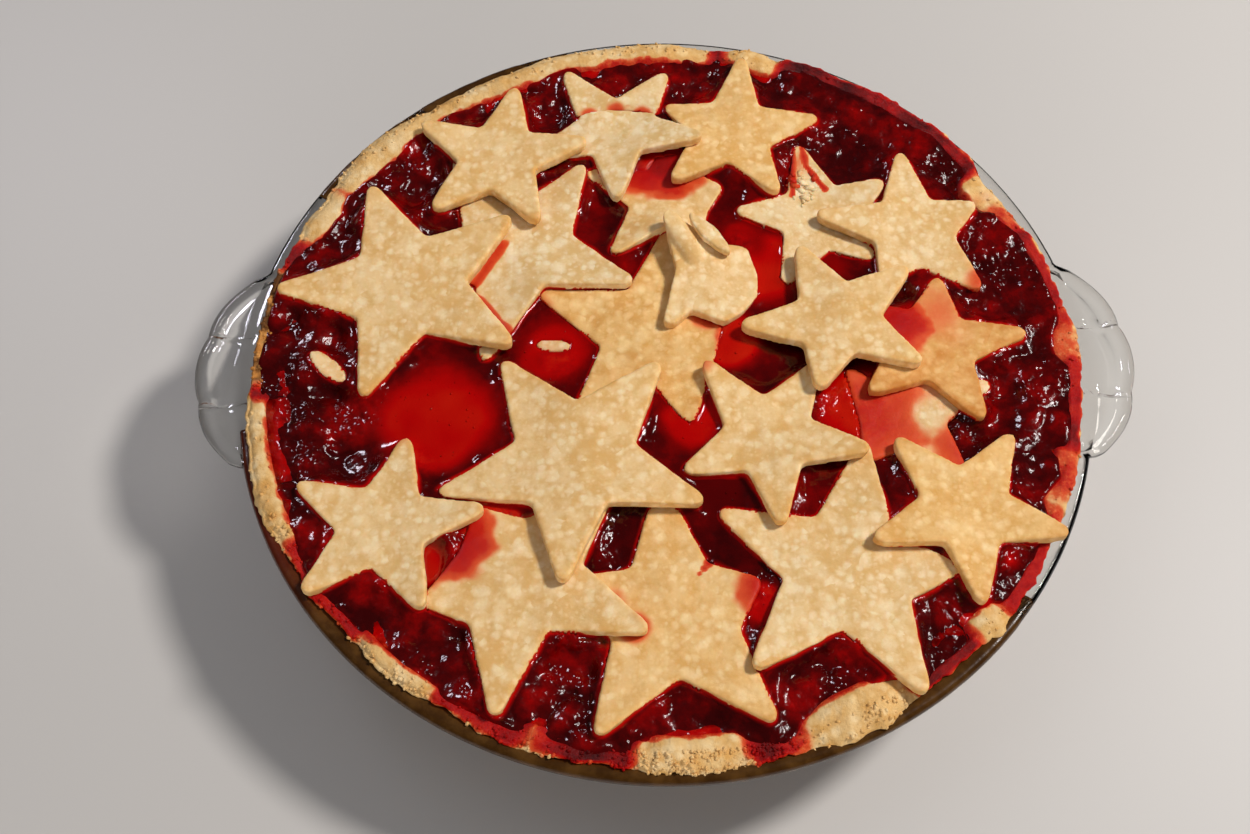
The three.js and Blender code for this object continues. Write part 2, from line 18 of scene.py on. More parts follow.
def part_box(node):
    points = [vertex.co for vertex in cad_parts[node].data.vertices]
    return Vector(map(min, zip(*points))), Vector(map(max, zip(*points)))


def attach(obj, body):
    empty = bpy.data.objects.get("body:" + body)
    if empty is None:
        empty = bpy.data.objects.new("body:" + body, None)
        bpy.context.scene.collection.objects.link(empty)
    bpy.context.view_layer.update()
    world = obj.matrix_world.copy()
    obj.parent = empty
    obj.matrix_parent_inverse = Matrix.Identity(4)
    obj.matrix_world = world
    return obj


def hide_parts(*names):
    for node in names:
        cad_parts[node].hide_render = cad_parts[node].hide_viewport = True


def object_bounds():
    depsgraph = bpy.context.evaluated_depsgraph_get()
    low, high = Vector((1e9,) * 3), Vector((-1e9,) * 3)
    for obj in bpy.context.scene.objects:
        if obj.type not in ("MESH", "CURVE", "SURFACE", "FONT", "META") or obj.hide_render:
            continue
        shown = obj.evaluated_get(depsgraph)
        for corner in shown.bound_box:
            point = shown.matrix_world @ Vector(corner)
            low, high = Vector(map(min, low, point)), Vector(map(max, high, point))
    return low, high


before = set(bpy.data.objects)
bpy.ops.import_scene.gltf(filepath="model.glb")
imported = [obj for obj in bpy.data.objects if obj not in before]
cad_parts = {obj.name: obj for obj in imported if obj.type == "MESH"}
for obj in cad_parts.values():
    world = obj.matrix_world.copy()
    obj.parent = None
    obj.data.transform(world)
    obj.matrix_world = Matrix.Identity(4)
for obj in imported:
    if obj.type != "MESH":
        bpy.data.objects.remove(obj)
cad_low, cad_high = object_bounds()
MM = 0.001  # sizes below are in millimetres; the scene is in metres
STAR_NODES = sorted(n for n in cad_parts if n.startswith(("star_", "scrap_")))
print(len(STAR_NODES), "pieces of pastry on a pie", [round((b - a) / MM) for a, b in zip(cad_low, cad_high)])

# %% [markdown]
# ## Camera
# The photograph looks down at the pie from the front at about sixty degrees. The
# camera's place and turn were worked out from the round rim and from the stars, whose
# tips lie at known sizes. A camera could also be aimed by a Track To constraint, but
# three direction vectors say exactly how the picture is tilted.

# %% Camera at the photograph's angle
PHOTO_WIDTH = 1250  # pixels
FOCAL_PIXELS = 1431.8
SENSOR = 36.0
CAMERA_AT = (-9.479, -209.346, 390.689)
CAMERA_RIGHT = (0.99991548, -0.00870282, -0.00965915)
CAMERA_UP = (0.0122635, 0.87806127, 0.47839106)


def photo_camera():
    lens = bpy.data.cameras.new("photo_camera")
    lens.sensor_width = SENSOR
    lens.lens = SENSOR * FOCAL_PIXELS / PHOTO_WIDTH
    lens.clip_start = 0.01
    camera = bpy.data.objects.new("photo_camera", lens)
    right, up = Vector(CAMERA_RIGHT).normalized(), Vector(CAMERA_UP)
    up = (up - right * up.dot(right)).normalized()
    turn = Matrix((right, up, right.cross(up))).transposed().to_4x4()
    camera.matrix_world = Matrix.Translation(Vector(CAMERA_AT) * MM) @ turn
    bpy.context.scene.collection.objects.link(camera)
    bpy.context.scene.camera = camera


photo_camera()
print("lens", round(bpy.context.scene.camera.data.lens, 1), "mm")

# %% [markdown]
# ## Helpers
# A mesh can be made point by point in Edit Mode, but a surface that follows a rule is
# quicker as arrays of numbers. These helpers turn arrays into objects, give a repeatable
# noise, and add shader and geometry nodes in one line each.


# %% Helpers for meshes
def mesh_object(name, points, faces, smooth=True):
    """An object from points in millimetres, with its place in its mesh."""
    mesh = bpy.data.meshes.new(name)
    mesh.from_pydata((np.asarray(points) * MM).tolist(), [], faces)
    mesh.validate()
    mesh.polygons.foreach_set("use_smooth", [smooth] * len(mesh.polygons))
    piece = bpy.data.objects.new(name, mesh)
    bpy.context.scene.collection.objects.link(piece)
    return piece


def points_of(piece):
    """The points of a piece, in millimetres, one row each."""
    flat = np.empty(len(piece.data.vertices) * 3)
    piece.data.vertices.foreach_get("co", flat)
    return flat.reshape(-1, 3) / MM


def move_points(piece, points):
    piece.data.vertices.foreach_set("co", (points * MM).ravel())
    piece.data.update()


def paint(piece, name, values):
    """Stores one number for each point, for a material to read."""
    layer = piece.data.attributes.new(name, "FLOAT", "POINT")
    layer.data.foreach_set("value", np.asarray(values, np.float32))


def settle(*pieces):
    """Replaces each piece's mesh by what its modifiers make, and takes the modifiers off."""
    bpy.context.view_layer.update()
    graph = bpy.context.evaluated_depsgraph_get()
    for piece in pieces:
        mesh = bpy.data.meshes.new_from_object(piece.evaluated_get(graph))
        mesh.polygons.foreach_set("use_smooth", [True] * len(mesh.polygons))
        piece.modifiers.clear()
        piece.data = mesh


def surface_of(*meshes):
    """A search tree over the faces of meshes, in millimetres."""
    points, faces, first = [], [], 0
    for mesh in meshes:
        points += [tuple(v.co / MM) for v in mesh.vertices]
        faces += [tuple(first + i for i in p.vertices) for p in mesh.polygons]
        first = len(points)
    return BVHTree.FromPolygons(points, faces)


def height_on(tree, x, y, missing=0.0, from_below=False):
    """Height of the first surface met from above, or from below, at each x and y."""
    start, way = (-5.0, Vector((0, 0, 1))) if from_below else (90.0, Vector((0, 0, -1)))
    heights = np.full(len(x), missing)
    for k, (px, py) in enumerate(zip(x.tolist(), y.tolist())):
        hit = tree.ray_cast(Vector((px, py, start)), way)[0]
        if hit is not None:
            heights[k] = hit.z
    return heights


# %% Helpers for numbers
def smooth(start, stop, value):
    """0 before start, 1 past stop, and a soft step between them."""
    t = np.clip((np.asarray(value, float) - start) / (stop - start), 0, 1)
    return t * t * (3 - 2 * t)


def blend(a, b, share):
    return a + (b - a) * share


def scatter_value(i, j, seed):
    """A fixed value from 0 to 1 for each whole-number cell."""
    s = np.sin(i * 127.1 + j * 311.7 + seed * 74.7) * 43758.5453
    return s - np.floor(s)


def bumps(x, y, cell, seed=0):
    """Soft bumps from -1 to 1, about one to each cell of the given size."""
    u, v = x / cell, y / cell
    i, j = np.floor(u), np.floor(v)
    a, b = smooth(0, 1, u - i), smooth(0, 1, v - j)
    near = blend(scatter_value(i, j, seed), scatter_value(i + 1, j, seed), a)
    far = blend(scatter_value(i, j + 1, seed), scatter_value(i + 1, j + 1, seed), a)
    return 2 * blend(near, far, b) - 1


def by_angle(table, angle):
    """The value that a table of one number a degree gives at any angle."""
    return np.interp(np.asarray(angle) % 360, np.arange(361), np.append(table, table[0]))


def within(angle, start, stop, soft=2.0):
    """1 between two compass angles and 0 outside them, with soft ends."""
    half = (stop - start) / 2
    off = np.abs((angle - start - half + 180) % 360 - 180)
    return 1 - smooth(half - soft, half + soft, off)


# %% Helpers for nodes
def add(tree, kind, inputs=None, **settings):
    """Adds a node, sets its properties, and sets or links its inputs by name or number."""
    made = tree.nodes.new(kind)
    for name, value in settings.items():
        setattr(made, name, value)
    for name, value in (inputs or {}).items():
        if isinstance(value, bpy.types.NodeSocket):
            tree.links.new(value, made.inputs[name])
        else:
            made.inputs[name].default_value = value
    return made


def sums(tree, operation, *values, clamp=False):
    """One arithmetic node; gives its result."""
    inputs = dict(enumerate(values))
    return add(tree, "ShaderNodeMath", inputs, operation=operation, use_clamp=clamp).outputs[0]


def soft_step(tree, value, start, stop):
    """0 to 1 while value goes from start to stop."""
    inputs = {"Value": value, "From Min": start, "From Max": stop}
    return add(tree, "ShaderNodeMapRange", inputs, interpolation_type="SMOOTHSTEP").outputs["Result"]


def mixed(tree, share, a, b, way="MIX"):
    """Colour a turned towards colour b, or tinted by it."""
    made = add(tree, "ShaderNodeMix", {0: share, 6: a, 7: b}, data_type="RGBA", clamp_factor=True, blend_type=way)
    return made.outputs[2]


def noise(tree, place, per_metre, detail=3.0, roughness=0.5):
    inputs = {"Vector": place, "Scale": per_metre, "Detail": detail, "Roughness": roughness}
    return add(tree, "ShaderNodeTexNoise", inputs).outputs["Fac"]


def painted(tree, name):
    return add(tree, "ShaderNodeAttribute", attribute_name=name).outputs["Fac"]


def new_material(name):
    """An empty material; gives it with its tree, shader and object coordinates."""
    material = bpy.data.materials.new(name)
    material.use_nodes = True
    tree = material.node_tree
    tree.nodes.clear()
    place = add(tree, "ShaderNodeTexCoord").outputs["Object"]
    shader = add(tree, "ShaderNodeBsdfPrincipled")
    add(tree, "ShaderNodeOutputMaterial", {"Surface": shader.outputs["BSDF"]})
    return material, tree, shader, place


# %% [markdown]
# ## What syrup does to colour
# Thin syrup over pastry is pink, then orange, then red, and deep syrup is nearly black.
# Real syrup does that by swallowing light along the way. A volume shader could copy it,
# but it is slow and leaves an exported model grey. Here each point of the pie stores how
# deep the syrup stands over the pale pastry under it, and a colour ramp turns that depth
# into colour. Pastry, crust and syrup share the ramp, so that a stain runs on from one
# piece to the next.

# %% Colours of syrup by depth
SYRUP_BY_DEPTH = [  # millimetres of syrup, and the colour it shows over pastry
    (0.0, (0.80, 0.46, 0.23)),
    (0.10, (0.77, 0.27, 0.095)),
    (0.30, (0.68, 0.085, 0.020)),
    (0.7, (0.53, 0.014, 0.003)),
    (1.4, (0.42, 0.0006, 0.0006)),
    (2.3, (0.20, 0.0003, 0.0004)),
    (3.2, (0.080, 0.0003, 0.0006)),
    (4.0, (0.036, 0.0003, 0.0006)),
]
DEEPEST = 4.0
PASTRY_PALE = (0.83, 0.62, 0.345, 1)
PASTRY_TAN = (0.72, 0.46, 0.185, 1)
PASTRY_FLECK = (0.96, 0.84, 0.60, 1)
GOLDEN_TINT = (0.99, 0.83, 0.58, 1)
BROWN_TINT = (0.80, 0.55, 0.33, 1)
SCORCHED = (0.14, 0.05, 0.010, 1)


def syrup_colour(tree, depth):
    """The ramp's colour at a depth of syrup."""
    share = sums(tree, "DIVIDE", depth, DEEPEST, clamp=True)
    ramp = add(tree, "ShaderNodeValToRGB", {"Fac": share})
    stops = ramp.color_ramp.elements
    stops[0].position, stops[0].color = 0.0, (*SYRUP_BY_DEPTH[0][1], 1)
    stops[1].position, stops[1].color = 1.0, (*SYRUP_BY_DEPTH[-1][1], 1)
    for at, colour in SYRUP_BY_DEPTH[1:-1]:
        stops.new(at / DEEPEST).color = (*colour, 1)
    return ramp.outputs["Color"]


def round_flecks(tree, place, per_metre, share, seed_shift):
    """1 inside some of many round spots, 0 between them."""
    wobble = add(tree, "ShaderNodeTexNoise", {"Vector": place, "Scale": 420.0, "Detail": 2.0}).outputs["Color"]
    bent = add(tree, "ShaderNodeVectorMath", {0: wobble, 1: (0.0016,) * 3, 2: place}, operation="MULTIPLY_ADD")
    moved = add(tree, "ShaderNodeVectorMath", {0: bent.outputs[0], 1: (seed_shift,) * 3}, operation="ADD")
    cells = add(tree, "ShaderNodeTexVoronoi", {"Vector": moved.outputs[0], "Scale": per_metre}, feature="F1")
    inside = sums(tree, "SUBTRACT", 1.0, soft_step(tree, cells.outputs["Distance"], 0.14, 0.62))
    parts = add(tree, "ShaderNodeSeparateColor", {"Color": cells.outputs["Color"]})
    chosen = soft_step(tree, parts.outputs[0], 1 - share - 0.12, 1 - share + 0.12)
    return sums(tree, "MULTIPLY", inside, chosen)


def pastry_colour(tree, place, browned):
    """Mottled short pastry: tan clouds, lighter round flecks, browned where it is told to."""
    wide = sums(tree, "MULTIPLY", noise(tree, place, 60, 2.0), 0.5)
    cloud = soft_step(tree, sums(tree, "ADD", wide, noise(tree, place, 230, 4.0, 0.6)), 0.58, 0.92)
    colour = mixed(tree, cloud, PASTRY_PALE, PASTRY_TAN)
    for per_metre, share, strength, shift in ((210, 0.35, 0.55, 0.3), (370, 0.55, 0.6, 0.7), (740, 0.4, 0.3, 0.9)):
        fleck = round_flecks(tree, place, per_metre, share, shift)
        colour = mixed(tree, sums(tree, "MULTIPLY", fleck, strength), colour, PASTRY_FLECK)
    grain = soft_step(tree, noise(tree, place, 1300, 2.0), 0.3, 0.7)
    colour = mixed(tree, sums(tree, "MULTIPLY", grain, 0.15), colour, PASTRY_TAN)
    patchy = sums(tree, "MULTIPLY", browned, sums(tree, "ADD", 0.6, noise(tree, place, 240, 3.0)), clamp=True)
    golden = mixed(tree, soft_step(tree, patchy, 0.0, 0.6), colour, GOLDEN_TINT, "MULTIPLY")
    return mixed(tree, soft_step(tree, patchy, 0.5, 1.1), golden, BROWN_TINT, "MULTIPLY")


def soaked_colour(tree, place, dry_colour, stain, ragged_share):
    """Pastry under a stain of syrup: its colour, and how wet it is from 0 to 1."""
    ragged = sums(tree, "MULTIPLY", sums(tree, "SUBTRACT", noise(tree, place, 380, 4.0, 0.7), 0.5), ragged_share)
    depth = sums(tree, "ADD", stain, sums(tree, "MULTIPLY", ragged, soft_step(tree, stain, 0.0, 0.8)))
    wet = soft_step(tree, depth, 0.02, 0.24)
    return mixed(tree, wet, dry_colour, syrup_colour(tree, depth)), wet


def bumpy(tree, shader, height, strength, distance):
    bump = add(tree, "ShaderNodeBump", {"Height": height, "Strength": strength, "Distance": distance * MM})
    tree.links.new(bump.outputs["Normal"], shader.inputs["Normal"])


# %% Star pastry
def star_pastry_material():
    material, tree, shader, place = new_material("star_pastry")
    pastry = pastry_colour(tree, place, painted(tree, "browned"))
    colour, wet = soaked_colour(tree, place, pastry, painted(tree, "stain"), 0.5)
    tree.links.new(colour, shader.inputs["Base Color"])
    dry = sums(tree, "MULTIPLY_ADD", noise(tree, place, 600), 0.2, 0.5)
    tree.links.new(sums(tree, "MULTIPLY_ADD", wet, -0.10, dry), shader.inputs["Roughness"])
    shader.inputs["IOR"].default_value = 1.42
    shader.inputs["Specular IOR Level"].default_value = 0.25
    shader.inputs["Subsurface Weight"].default_value = 0.3
    shader.inputs["Subsurface Radius"].default_value = (1.0, 0.5, 0.25)
    shader.inputs["Subsurface Scale"].default_value = 0.8 * MM
    crumb = sums(tree, "ADD", noise(tree, place, 700, 4.0, 0.6),
                 sums(tree, "MULTIPLY", noise(tree, place, 2400, 2.0), 0.35))
    bumpy(tree, shader, crumb, 0.35, 0.35)
    return material


STAR_PASTRY = star_pastry_material()
print("pastry nodes:", len(STAR_PASTRY.node_tree.nodes))

# %% [markdown]
# ## Pastry stars
# The real stars were cut from a rolled sheet, so they are flat slabs some three
# millimetres thick. Their edges softened in the oven, and they bent over what lay under
# them. The script does the same in the same order: it cuts a flat slab along the packed
# outline, rounds its edges by a voxel remesh and a Smooth modifier, and bends it as a
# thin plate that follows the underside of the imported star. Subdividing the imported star
# would be shorter, but its long thin triangles would crease. A Geometry Nodes tree then
# lifts soft swells and small blisters, the same way for every star.

# %% A tree that bakes a surface
VOXEL = 0.55
BAKED = {  # named inputs of the tree, in metres
    "Swell size": 8 * MM, "Swell height": 0.34 * MM, "Blister size": 2.6 * MM, "Blister height": 0.13 * MM,
}


def tree_with(name, sockets):
    """An empty geometry tree with a geometry in and out and other named inputs."""
    tree = bpy.data.node_groups.new(name, "GeometryNodeTree")
    tree.interface.new_socket("Geometry", in_out="INPUT", socket_type="NodeSocketGeometry")
    for socket, kind in sockets.items():
        tree.interface.new_socket(socket, in_out="INPUT", socket_type="NodeSocket" + kind)
    tree.interface.new_socket("Geometry", in_out="OUTPUT", socket_type="NodeSocketGeometry")
    return tree, add(tree, "NodeGroupInput").outputs


def finish_tree(tree, geometry, material):
    real = add(tree, "GeometryNodeRealizeInstances", {"Geometry": geometry})
    dressed = add(tree, "GeometryNodeSetMaterial", {"Geometry": real.outputs[0], "Material": material})
    add(tree, "NodeGroupOutput", {0: dressed.outputs[0]})
    return tree


def baking_tree():
    tree, given = tree_with("bake the surface", {**dict.fromkeys(BAKED, "Float"), "Material": "Material"})
    place = add(tree, "GeometryNodeInputPosition").outputs[0]
    heights = []
    for kind in ("Swell", "Blister"):
        per_metre = sums(tree, "DIVIDE", 1.0, given[kind + " size"])
        wave = add(tree, "ShaderNodeTexNoise", {"Vector": place, "Scale": per_metre, "Detail": 1.0})
        centred = sums(tree, "MULTIPLY_ADD", wave.outputs["Fac"], 2.0, -1.0)
        heights.append(sums(tree, "MULTIPLY", centred, given[kind + " height"]))
    normal = add(tree, "GeometryNodeInputNormal").outputs[0]
    scale = sums(tree, "ADD", *heights)
    outwards = add(tree, "ShaderNodeVectorMath", {0: normal, "Scale": scale}, operation="SCALE")
    moved = add(tree, "GeometryNodeSetPosition", {"Geometry": given["Geometry"], "Offset": outwards.outputs[0]})
    return finish_tree(tree, moved.outputs[0], given["Material"])


def grow(piece, tree, values):
    """Puts a tree on a piece, with its inputs set by the identifiers of its sockets."""
    modifier = piece.modifiers.new(tree.name, "NODES")
    modifier.node_group = tree
    for item in tree.interface.items_tree:
        if item.item_type == "SOCKET" and item.in_out == "INPUT" and item.name in values:
            modifier[item.identifier] = values[item.name]


BAKING = baking_tree()


# %% Cut each star flat
def cut_edge(node):
    """The edge of a packed star's underside, in order, as rows of x, y and height."""
    solid = bmesh.new()
    solid.from_mesh(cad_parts[node].data)
    bmesh.ops.remove_doubles(solid, verts=solid.verts, dist=1e-6)
    solid.normal_update()
    lower = {face for face in solid.faces if face.normal.z < -0.5}
    rings, walked = [], set()
    for loop in [loop for face in solid.faces if face in lower for loop in face.loops]:
        ring = []
        while loop not in walked and loop.link_loop_radial_next.face not in lower:
            walked.add(loop)
            ring.append(tuple(loop.vert.co / MM))
            loop = loop.link_loop_next
            while loop.link_loop_radial_next.face in lower:
                loop = loop.link_loop_radial_next.link_loop_next
        rings.append(ring)
    longest = max((ring for ring in rings if ring), key=lambda ring: np.ptp(ring, 0).sum())
    solid.free()
    return np.array(longest)[::-1]


def evenly(ring, step):
    """Points at even steps along a closed line."""
    closed = np.vstack([ring, ring[:1]])
    along = np.concatenate([[0], np.cumsum(np.hypot(*np.diff(closed, axis=0).T))])
    count = int(along[-1] / step)
    places = np.arange(count) * along[-1] / count
    return np.column_stack([np.interp(places, along, column) for column in closed.T])


def slab(name, outline, thickness):
    """A flat slab of an outline, with even small faces and rounded edges."""
    count = len(outline)
    points = np.vstack([np.column_stack([outline, np.full(count, z)]) for z in (0, thickness)])
    ring = list(range(count))
    faces = [tuple(ring[::-1]), tuple(k + count for k in ring)]
    faces += [(k, (k + 1) % count, (k + 1) % count + count, k + count) for k in ring]
    piece = mesh_object(name, points, faces)
    remesh = piece.modifiers.new("even faces", "REMESH")
    remesh.mode, remesh.voxel_size = "VOXEL", VOXEL * MM
    soften = piece.modifiers.new("soften the edges", "SMOOTH")
    soften.factor, soften.iterations = 0.5, 5
    return piece


def packed_sheet(node):
    """Outline, thickness, and the underside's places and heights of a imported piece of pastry."""
    edge = cut_edge(node)
    tree = surface_of(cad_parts[node].data)
    low, high = edge.min(0), edge.max(0)
    step = np.clip((high[0] - low[0]) / 16, 1.2, 4)
    gx, gy = (axis.ravel() for axis in np.meshgrid(np.arange(low[0], high[0], step), np.arange(low[1], high[1], step)))
    under = height_on(tree, gx, gy, missing=-1, from_below=True)
    inside = under > 0
    gx, gy, under = gx[inside], gy[inside], under[inside]
    thickness = float(np.median(height_on(tree, gx, gy) - under))
    places = np.vstack([np.column_stack([gx, gy]), edge[:, :2]])
    outline = evenly(edge[:, :2], 0.4)
    for _ in range(8):
        outline = 0.5 * outline + 0.25 * (np.roll(outline, 1, 0) + np.roll(outline, -1, 0))
    return outline, thickness, places, np.append(under, edge[:, 2])


sheets = {node: packed_sheet(node) for node in STAR_NODES}
stars = {node: slab("baked_" + node, *sheets[node][:2]) for node in STAR_NODES}
settle(*stars.values())
print("faces on the flat stars:", sum(len(s.data.polygons) for s in stars.values()))


# %% Bend each star over what it lies on
STIFFNESS = 5.0  # how firmly a star stays flat
BEND_UNIT = 10.0  # millimetres


def plate_kernel(a, b):
    square = ((a[:, None] - b[None]) ** 2).sum(-1) / BEND_UNIT ** 2
    return square * np.log(square + 1e-12)


def bent_plate(places, heights, at):
    """Heights at any places of a thin plate that follows given heights as far as it bends."""
    count = len(places)
    flat = np.column_stack([np.ones(count), places / BEND_UNIT])
    matrix = np.zeros((count + 3, count + 3))
    matrix[:count, :count] = plate_kernel(places, places) + STIFFNESS * np.eye(count)
    matrix[:count, count:] = flat
    matrix[count:, :count] = flat.T
    weights = np.linalg.solve(matrix, np.append(heights, [0, 0, 0]))
    plane = np.column_stack([np.ones(len(at)), at / BEND_UNIT]) @ weights[count:]
    return plate_kernel(at, places) @ weights[:count] + plane


def ridge(px, py, start, stop, width):
    """1 along a line between two points, falling to 0 at half its width."""
    (ax, ay), (bx, by) = start, stop
    along = ((px - ax) * (bx - ax) + (py - ay) * (by - ay)) / ((bx - ax) ** 2 + (by - ay) ** 2)
    along = np.clip(along, 0, 1)
    off = np.hypot(px - ax - along * (bx - ax), py - ay - along * (by - ay))
    return np.sqrt(np.clip(1 - (2 * off / width) ** 2, 0, 1))


# Some values are painted shade as well as baking: several stars, most of them at the right of the pie, are set browner
# to darken them where the light falls brightest.
DONENESS_AND_SHADE = {  # how golden each star baked: 0 pale, 1 brown
    "star_small_right": 0.75, "star_large_middle": 0.52, "star_large_centre": 0.24, "star_small_middle_right": 0.26,
    "star_large_front": 0.38, "star_large_front_left": 0.24, "star_small_left_front": 0.20,
    "star_small_centre_right": 0.26, "star_small_back_right": 0.4, "star_large_left": 0.24,
    "star_small_back_left": 0.26, "star_small_right_front": 0.45, "star_small_right_back": 0.2,
    "star_large_front_right": 0.18, "star_small_under_back": 0.3, "star_small_folded": 0.22,
}
FOLDS = [  # star, ridge from, ridge to, width, height
    ("star_small_folded", (2.5, 44.5), (9.5, 33.0), 6.5, 2.0),
]


edge_gaps = {}  # for each star, how far every point lies from the cut edge
upper_sides = {}  # for each star, 1 on its upper side and 0 on its underside


def bend_star(node, star):
    outline, thickness, places, heights = sheets[node]
    points = points_of(star)
    px, py, flat_z = points.T
    middle = outline.mean(0)
    reach = np.hypot(*(outline - middle).T).max()
    tip = smooth(0.66, 1.02, np.hypot(px - middle[0], py - middle[1]) / reach)
    gap = np.array([np.sqrt(((outline - place) ** 2).sum(1).min()) for place in points[:, :2]])
    edge_gaps[node] = gap
    upper_sides[node] = smooth(0.25, 0.6, flat_z / thickness)
    # browned: baking at the tips and cut edges, plus each star's value above, which for some stars is painted shade
    # too
    browned = DONENESS_AND_SHADE.get(node, 0.05) + 0.12 * tip + 0.10 * (1 - smooth(0.2, 2.6, gap))
    paint(star, "browned", np.clip(browned, 0, 1))
    points[:, 2] += bent_plate(places, heights, points[:, :2])
    for folded, start, stop, width, height in FOLDS:
        if folded == node:
            points[:, 2] += height * ridge(px, py, start, stop, width) * smooth(0.3, 0.7, flat_z / thickness)
    ceiling = cad_high.z / MM - 0.5
    points[:, 2] = np.where(points[:, 2] > ceiling, ceiling + 0.2 * (points[:, 2] - ceiling), points[:, 2])
    move_points(star, points)
    grow(star, BAKING, {**BAKED, "Material": STAR_PASTRY})


def press_under(star, cover):
    """Keeps a star below the underside of one that lies on it."""
    points = points_of(star)
    underside = height_on(surface_of(cover.data), points[:, 0], points[:, 1], missing=90.0, from_below=True)
    points[:, 2] = np.minimum(points[:, 2], underside - 0.3)
    move_points(star, points)


for node, star in stars.items():
    bend_star(node, star)
settle(*stars.values())
press_under(stars["star_small_under_back"], stars["star_small_back_lower"])
print("thickness and foot:", {n[5:]: (round(sheets[n][1], 1), round(float(sheets[n][3].min()), 1)) for n in sheets})
print("tallest star stands at", round(max(points_of(s)[:, 2].max() for s in stars.values()), 1), "mm")

# %% [markdown]
# ## The crust
# The bottom crust lines the dish and ends in a torn rim: pale lumps where it stood
# proud, a thin skin soaked with syrup between them, and scorched crumbs at the left. A
# hand could sculpt it, but its section changes slowly round the dish, so the script reads
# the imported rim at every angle, turns that section round in fine steps and roughens it.

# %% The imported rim, read round the dish
CRUST_STEPS = 900
PROUD = (41.0, 41.8)  # rim heights over which the crust clears the syrup
filling_low, filling_high = (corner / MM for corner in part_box("strawberry_filling"))
packed_filling = surface_of(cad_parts["strawberry_filling"].data)
packed_crust = surface_of(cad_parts["pie_crust"].data)


def shore_radius():
    """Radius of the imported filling's edge at each whole degree."""
    radii = []
    for degree in range(360):
        out = Vector((math.cos(math.radians(degree)), math.sin(math.radians(degree)), 0))
        heights = (filling_high.z - step * 0.1 for step in range(60))
        hits = (packed_filling.ray_cast(out * 140 + Vector((0, 0, z)), -out)[0] for z in heights)
        radii.append(max(math.hypot(hit.x, hit.y) for hit in hits if hit is not None))
    return np.array(radii)


SHORE = shore_radius()
print("filling reaches", SHORE.min().round(1), "to", SHORE.max().round(1), "mm from the middle")


# %% Crust shape
def turned(name, rows):
    """A closed round piece from one section for each step round, axis to axis."""
    count, inner = len(rows), len(rows[0]) - 2
    points = [(0, 0, rows[0][0][1]), (0, 0, rows[0][-1][1])]
    for step, section in enumerate(rows):
        a = 2 * math.pi * step / count
        points += [(r * math.cos(a), r * math.sin(a), z) for r, z in section[1:-1]]
    number = 2 + np.arange(count * inner).reshape(count, inner)
    after = np.roll(number, -1, 0)
    quads = np.stack([number[:, :-1], after[:, :-1], after[:, 1:], number[:, 1:]], -1)
    faces = quads.reshape(-1, 4).tolist()
    faces += [(0, b, a) for a, b in zip(number[:, 0].tolist(), after[:, 0].tolist())]
    faces += [(1, a, b) for a, b in zip(number[:, -1].tolist(), after[:, -1].tolist())]
    return mesh_object(name, points, faces)


def narrow_rim(angle):
    """1 where only a narrow strip of crust shows, 0 where it is broad."""
    return np.max([within(angle, *stretch, 3) for stretch in ((76, 162), (185, 211), (220, 243))], 0)


def crust_section(step):
    a = 2 * math.pi * step / CRUST_STEPS
    reach = np.arange(104, 123, 0.2)
    packed_z = height_on(packed_crust, reach * math.cos(a), reach * math.sin(a))
    solid = packed_z > 0
    outer, inner = reach[solid].max(), float(by_angle(SHORE, math.degrees(a)))
    proud = float(smooth(*PROUD, packed_z.max()))
    share = np.linspace(0, 1, 26)
    outer = outer + 1.2 * (1 - proud) * float(within(math.degrees(a), 34, 72, 4))
    narrow = float(narrow_rim(math.degrees(a)))
    first = inner - blend(2.0, blend(3.4, 1.2, narrow), proud)
    outer = outer - 0.9 * narrow
    across = first + (outer - 0.4 - first) * share
    cx, cy = across * math.cos(a), across * math.sin(a)
    ragged = 0.6 * bumps(cx[-1:], cy[-1:], 3.4, 41)[0] + 0.4 * bumps(cx[-1:], cy[-1:], 1.5, 42)[0]
    across = across + share * ragged
    lumps = 0.70 * bumps(cx, cy, 6.5, 46) + 0.45 * bumps(cx, cy, 3.1, 43) + 0.22 * bumps(cx, cy, 1.5, 44)
    packed_top = np.interp(across, reach[solid], packed_z[solid])
    loaf = packed_z.max() - 0.5 - 1.9 * np.abs(2 * share - 1) ** 3
    top = blend(packed_top, np.maximum(loaf, packed_top - 1.5), proud)
    top = top + lumps * blend(0.4, 0.75 - 0.4 * narrow, proud) * smooth(0, 0.2, share)
    edge = outer + ragged
    under = min(38.55 + (edge - 112.4) * 0.31 if edge < 118.4 else 40.2, top[-1] - 0.7)
    side = [(edge + 0.05, blend(top[-1], under, s)) for s in (0.85, 0.6, 0.3)]
    section = [(0.0, 5.5), (40, 5.5), (81.3, 5.5), (84.8, 7.5), (92, 16.3), (100, 26), (108.8, 36.7)]
    section += [(112.4, 38.5), (edge - 0.4, under)] + side + list(zip(across[::-1], top[::-1]))
    return section + [(105.8, 37.7), (82.4, 9.3), (80, 8.3), (0.0, 8.3)]


crust = turned("baked_crust", [crust_section(step) for step in range(CRUST_STEPS)])
crust_tree = surface_of(crust.data)
print("crust faces:", len(crust.data.polygons))
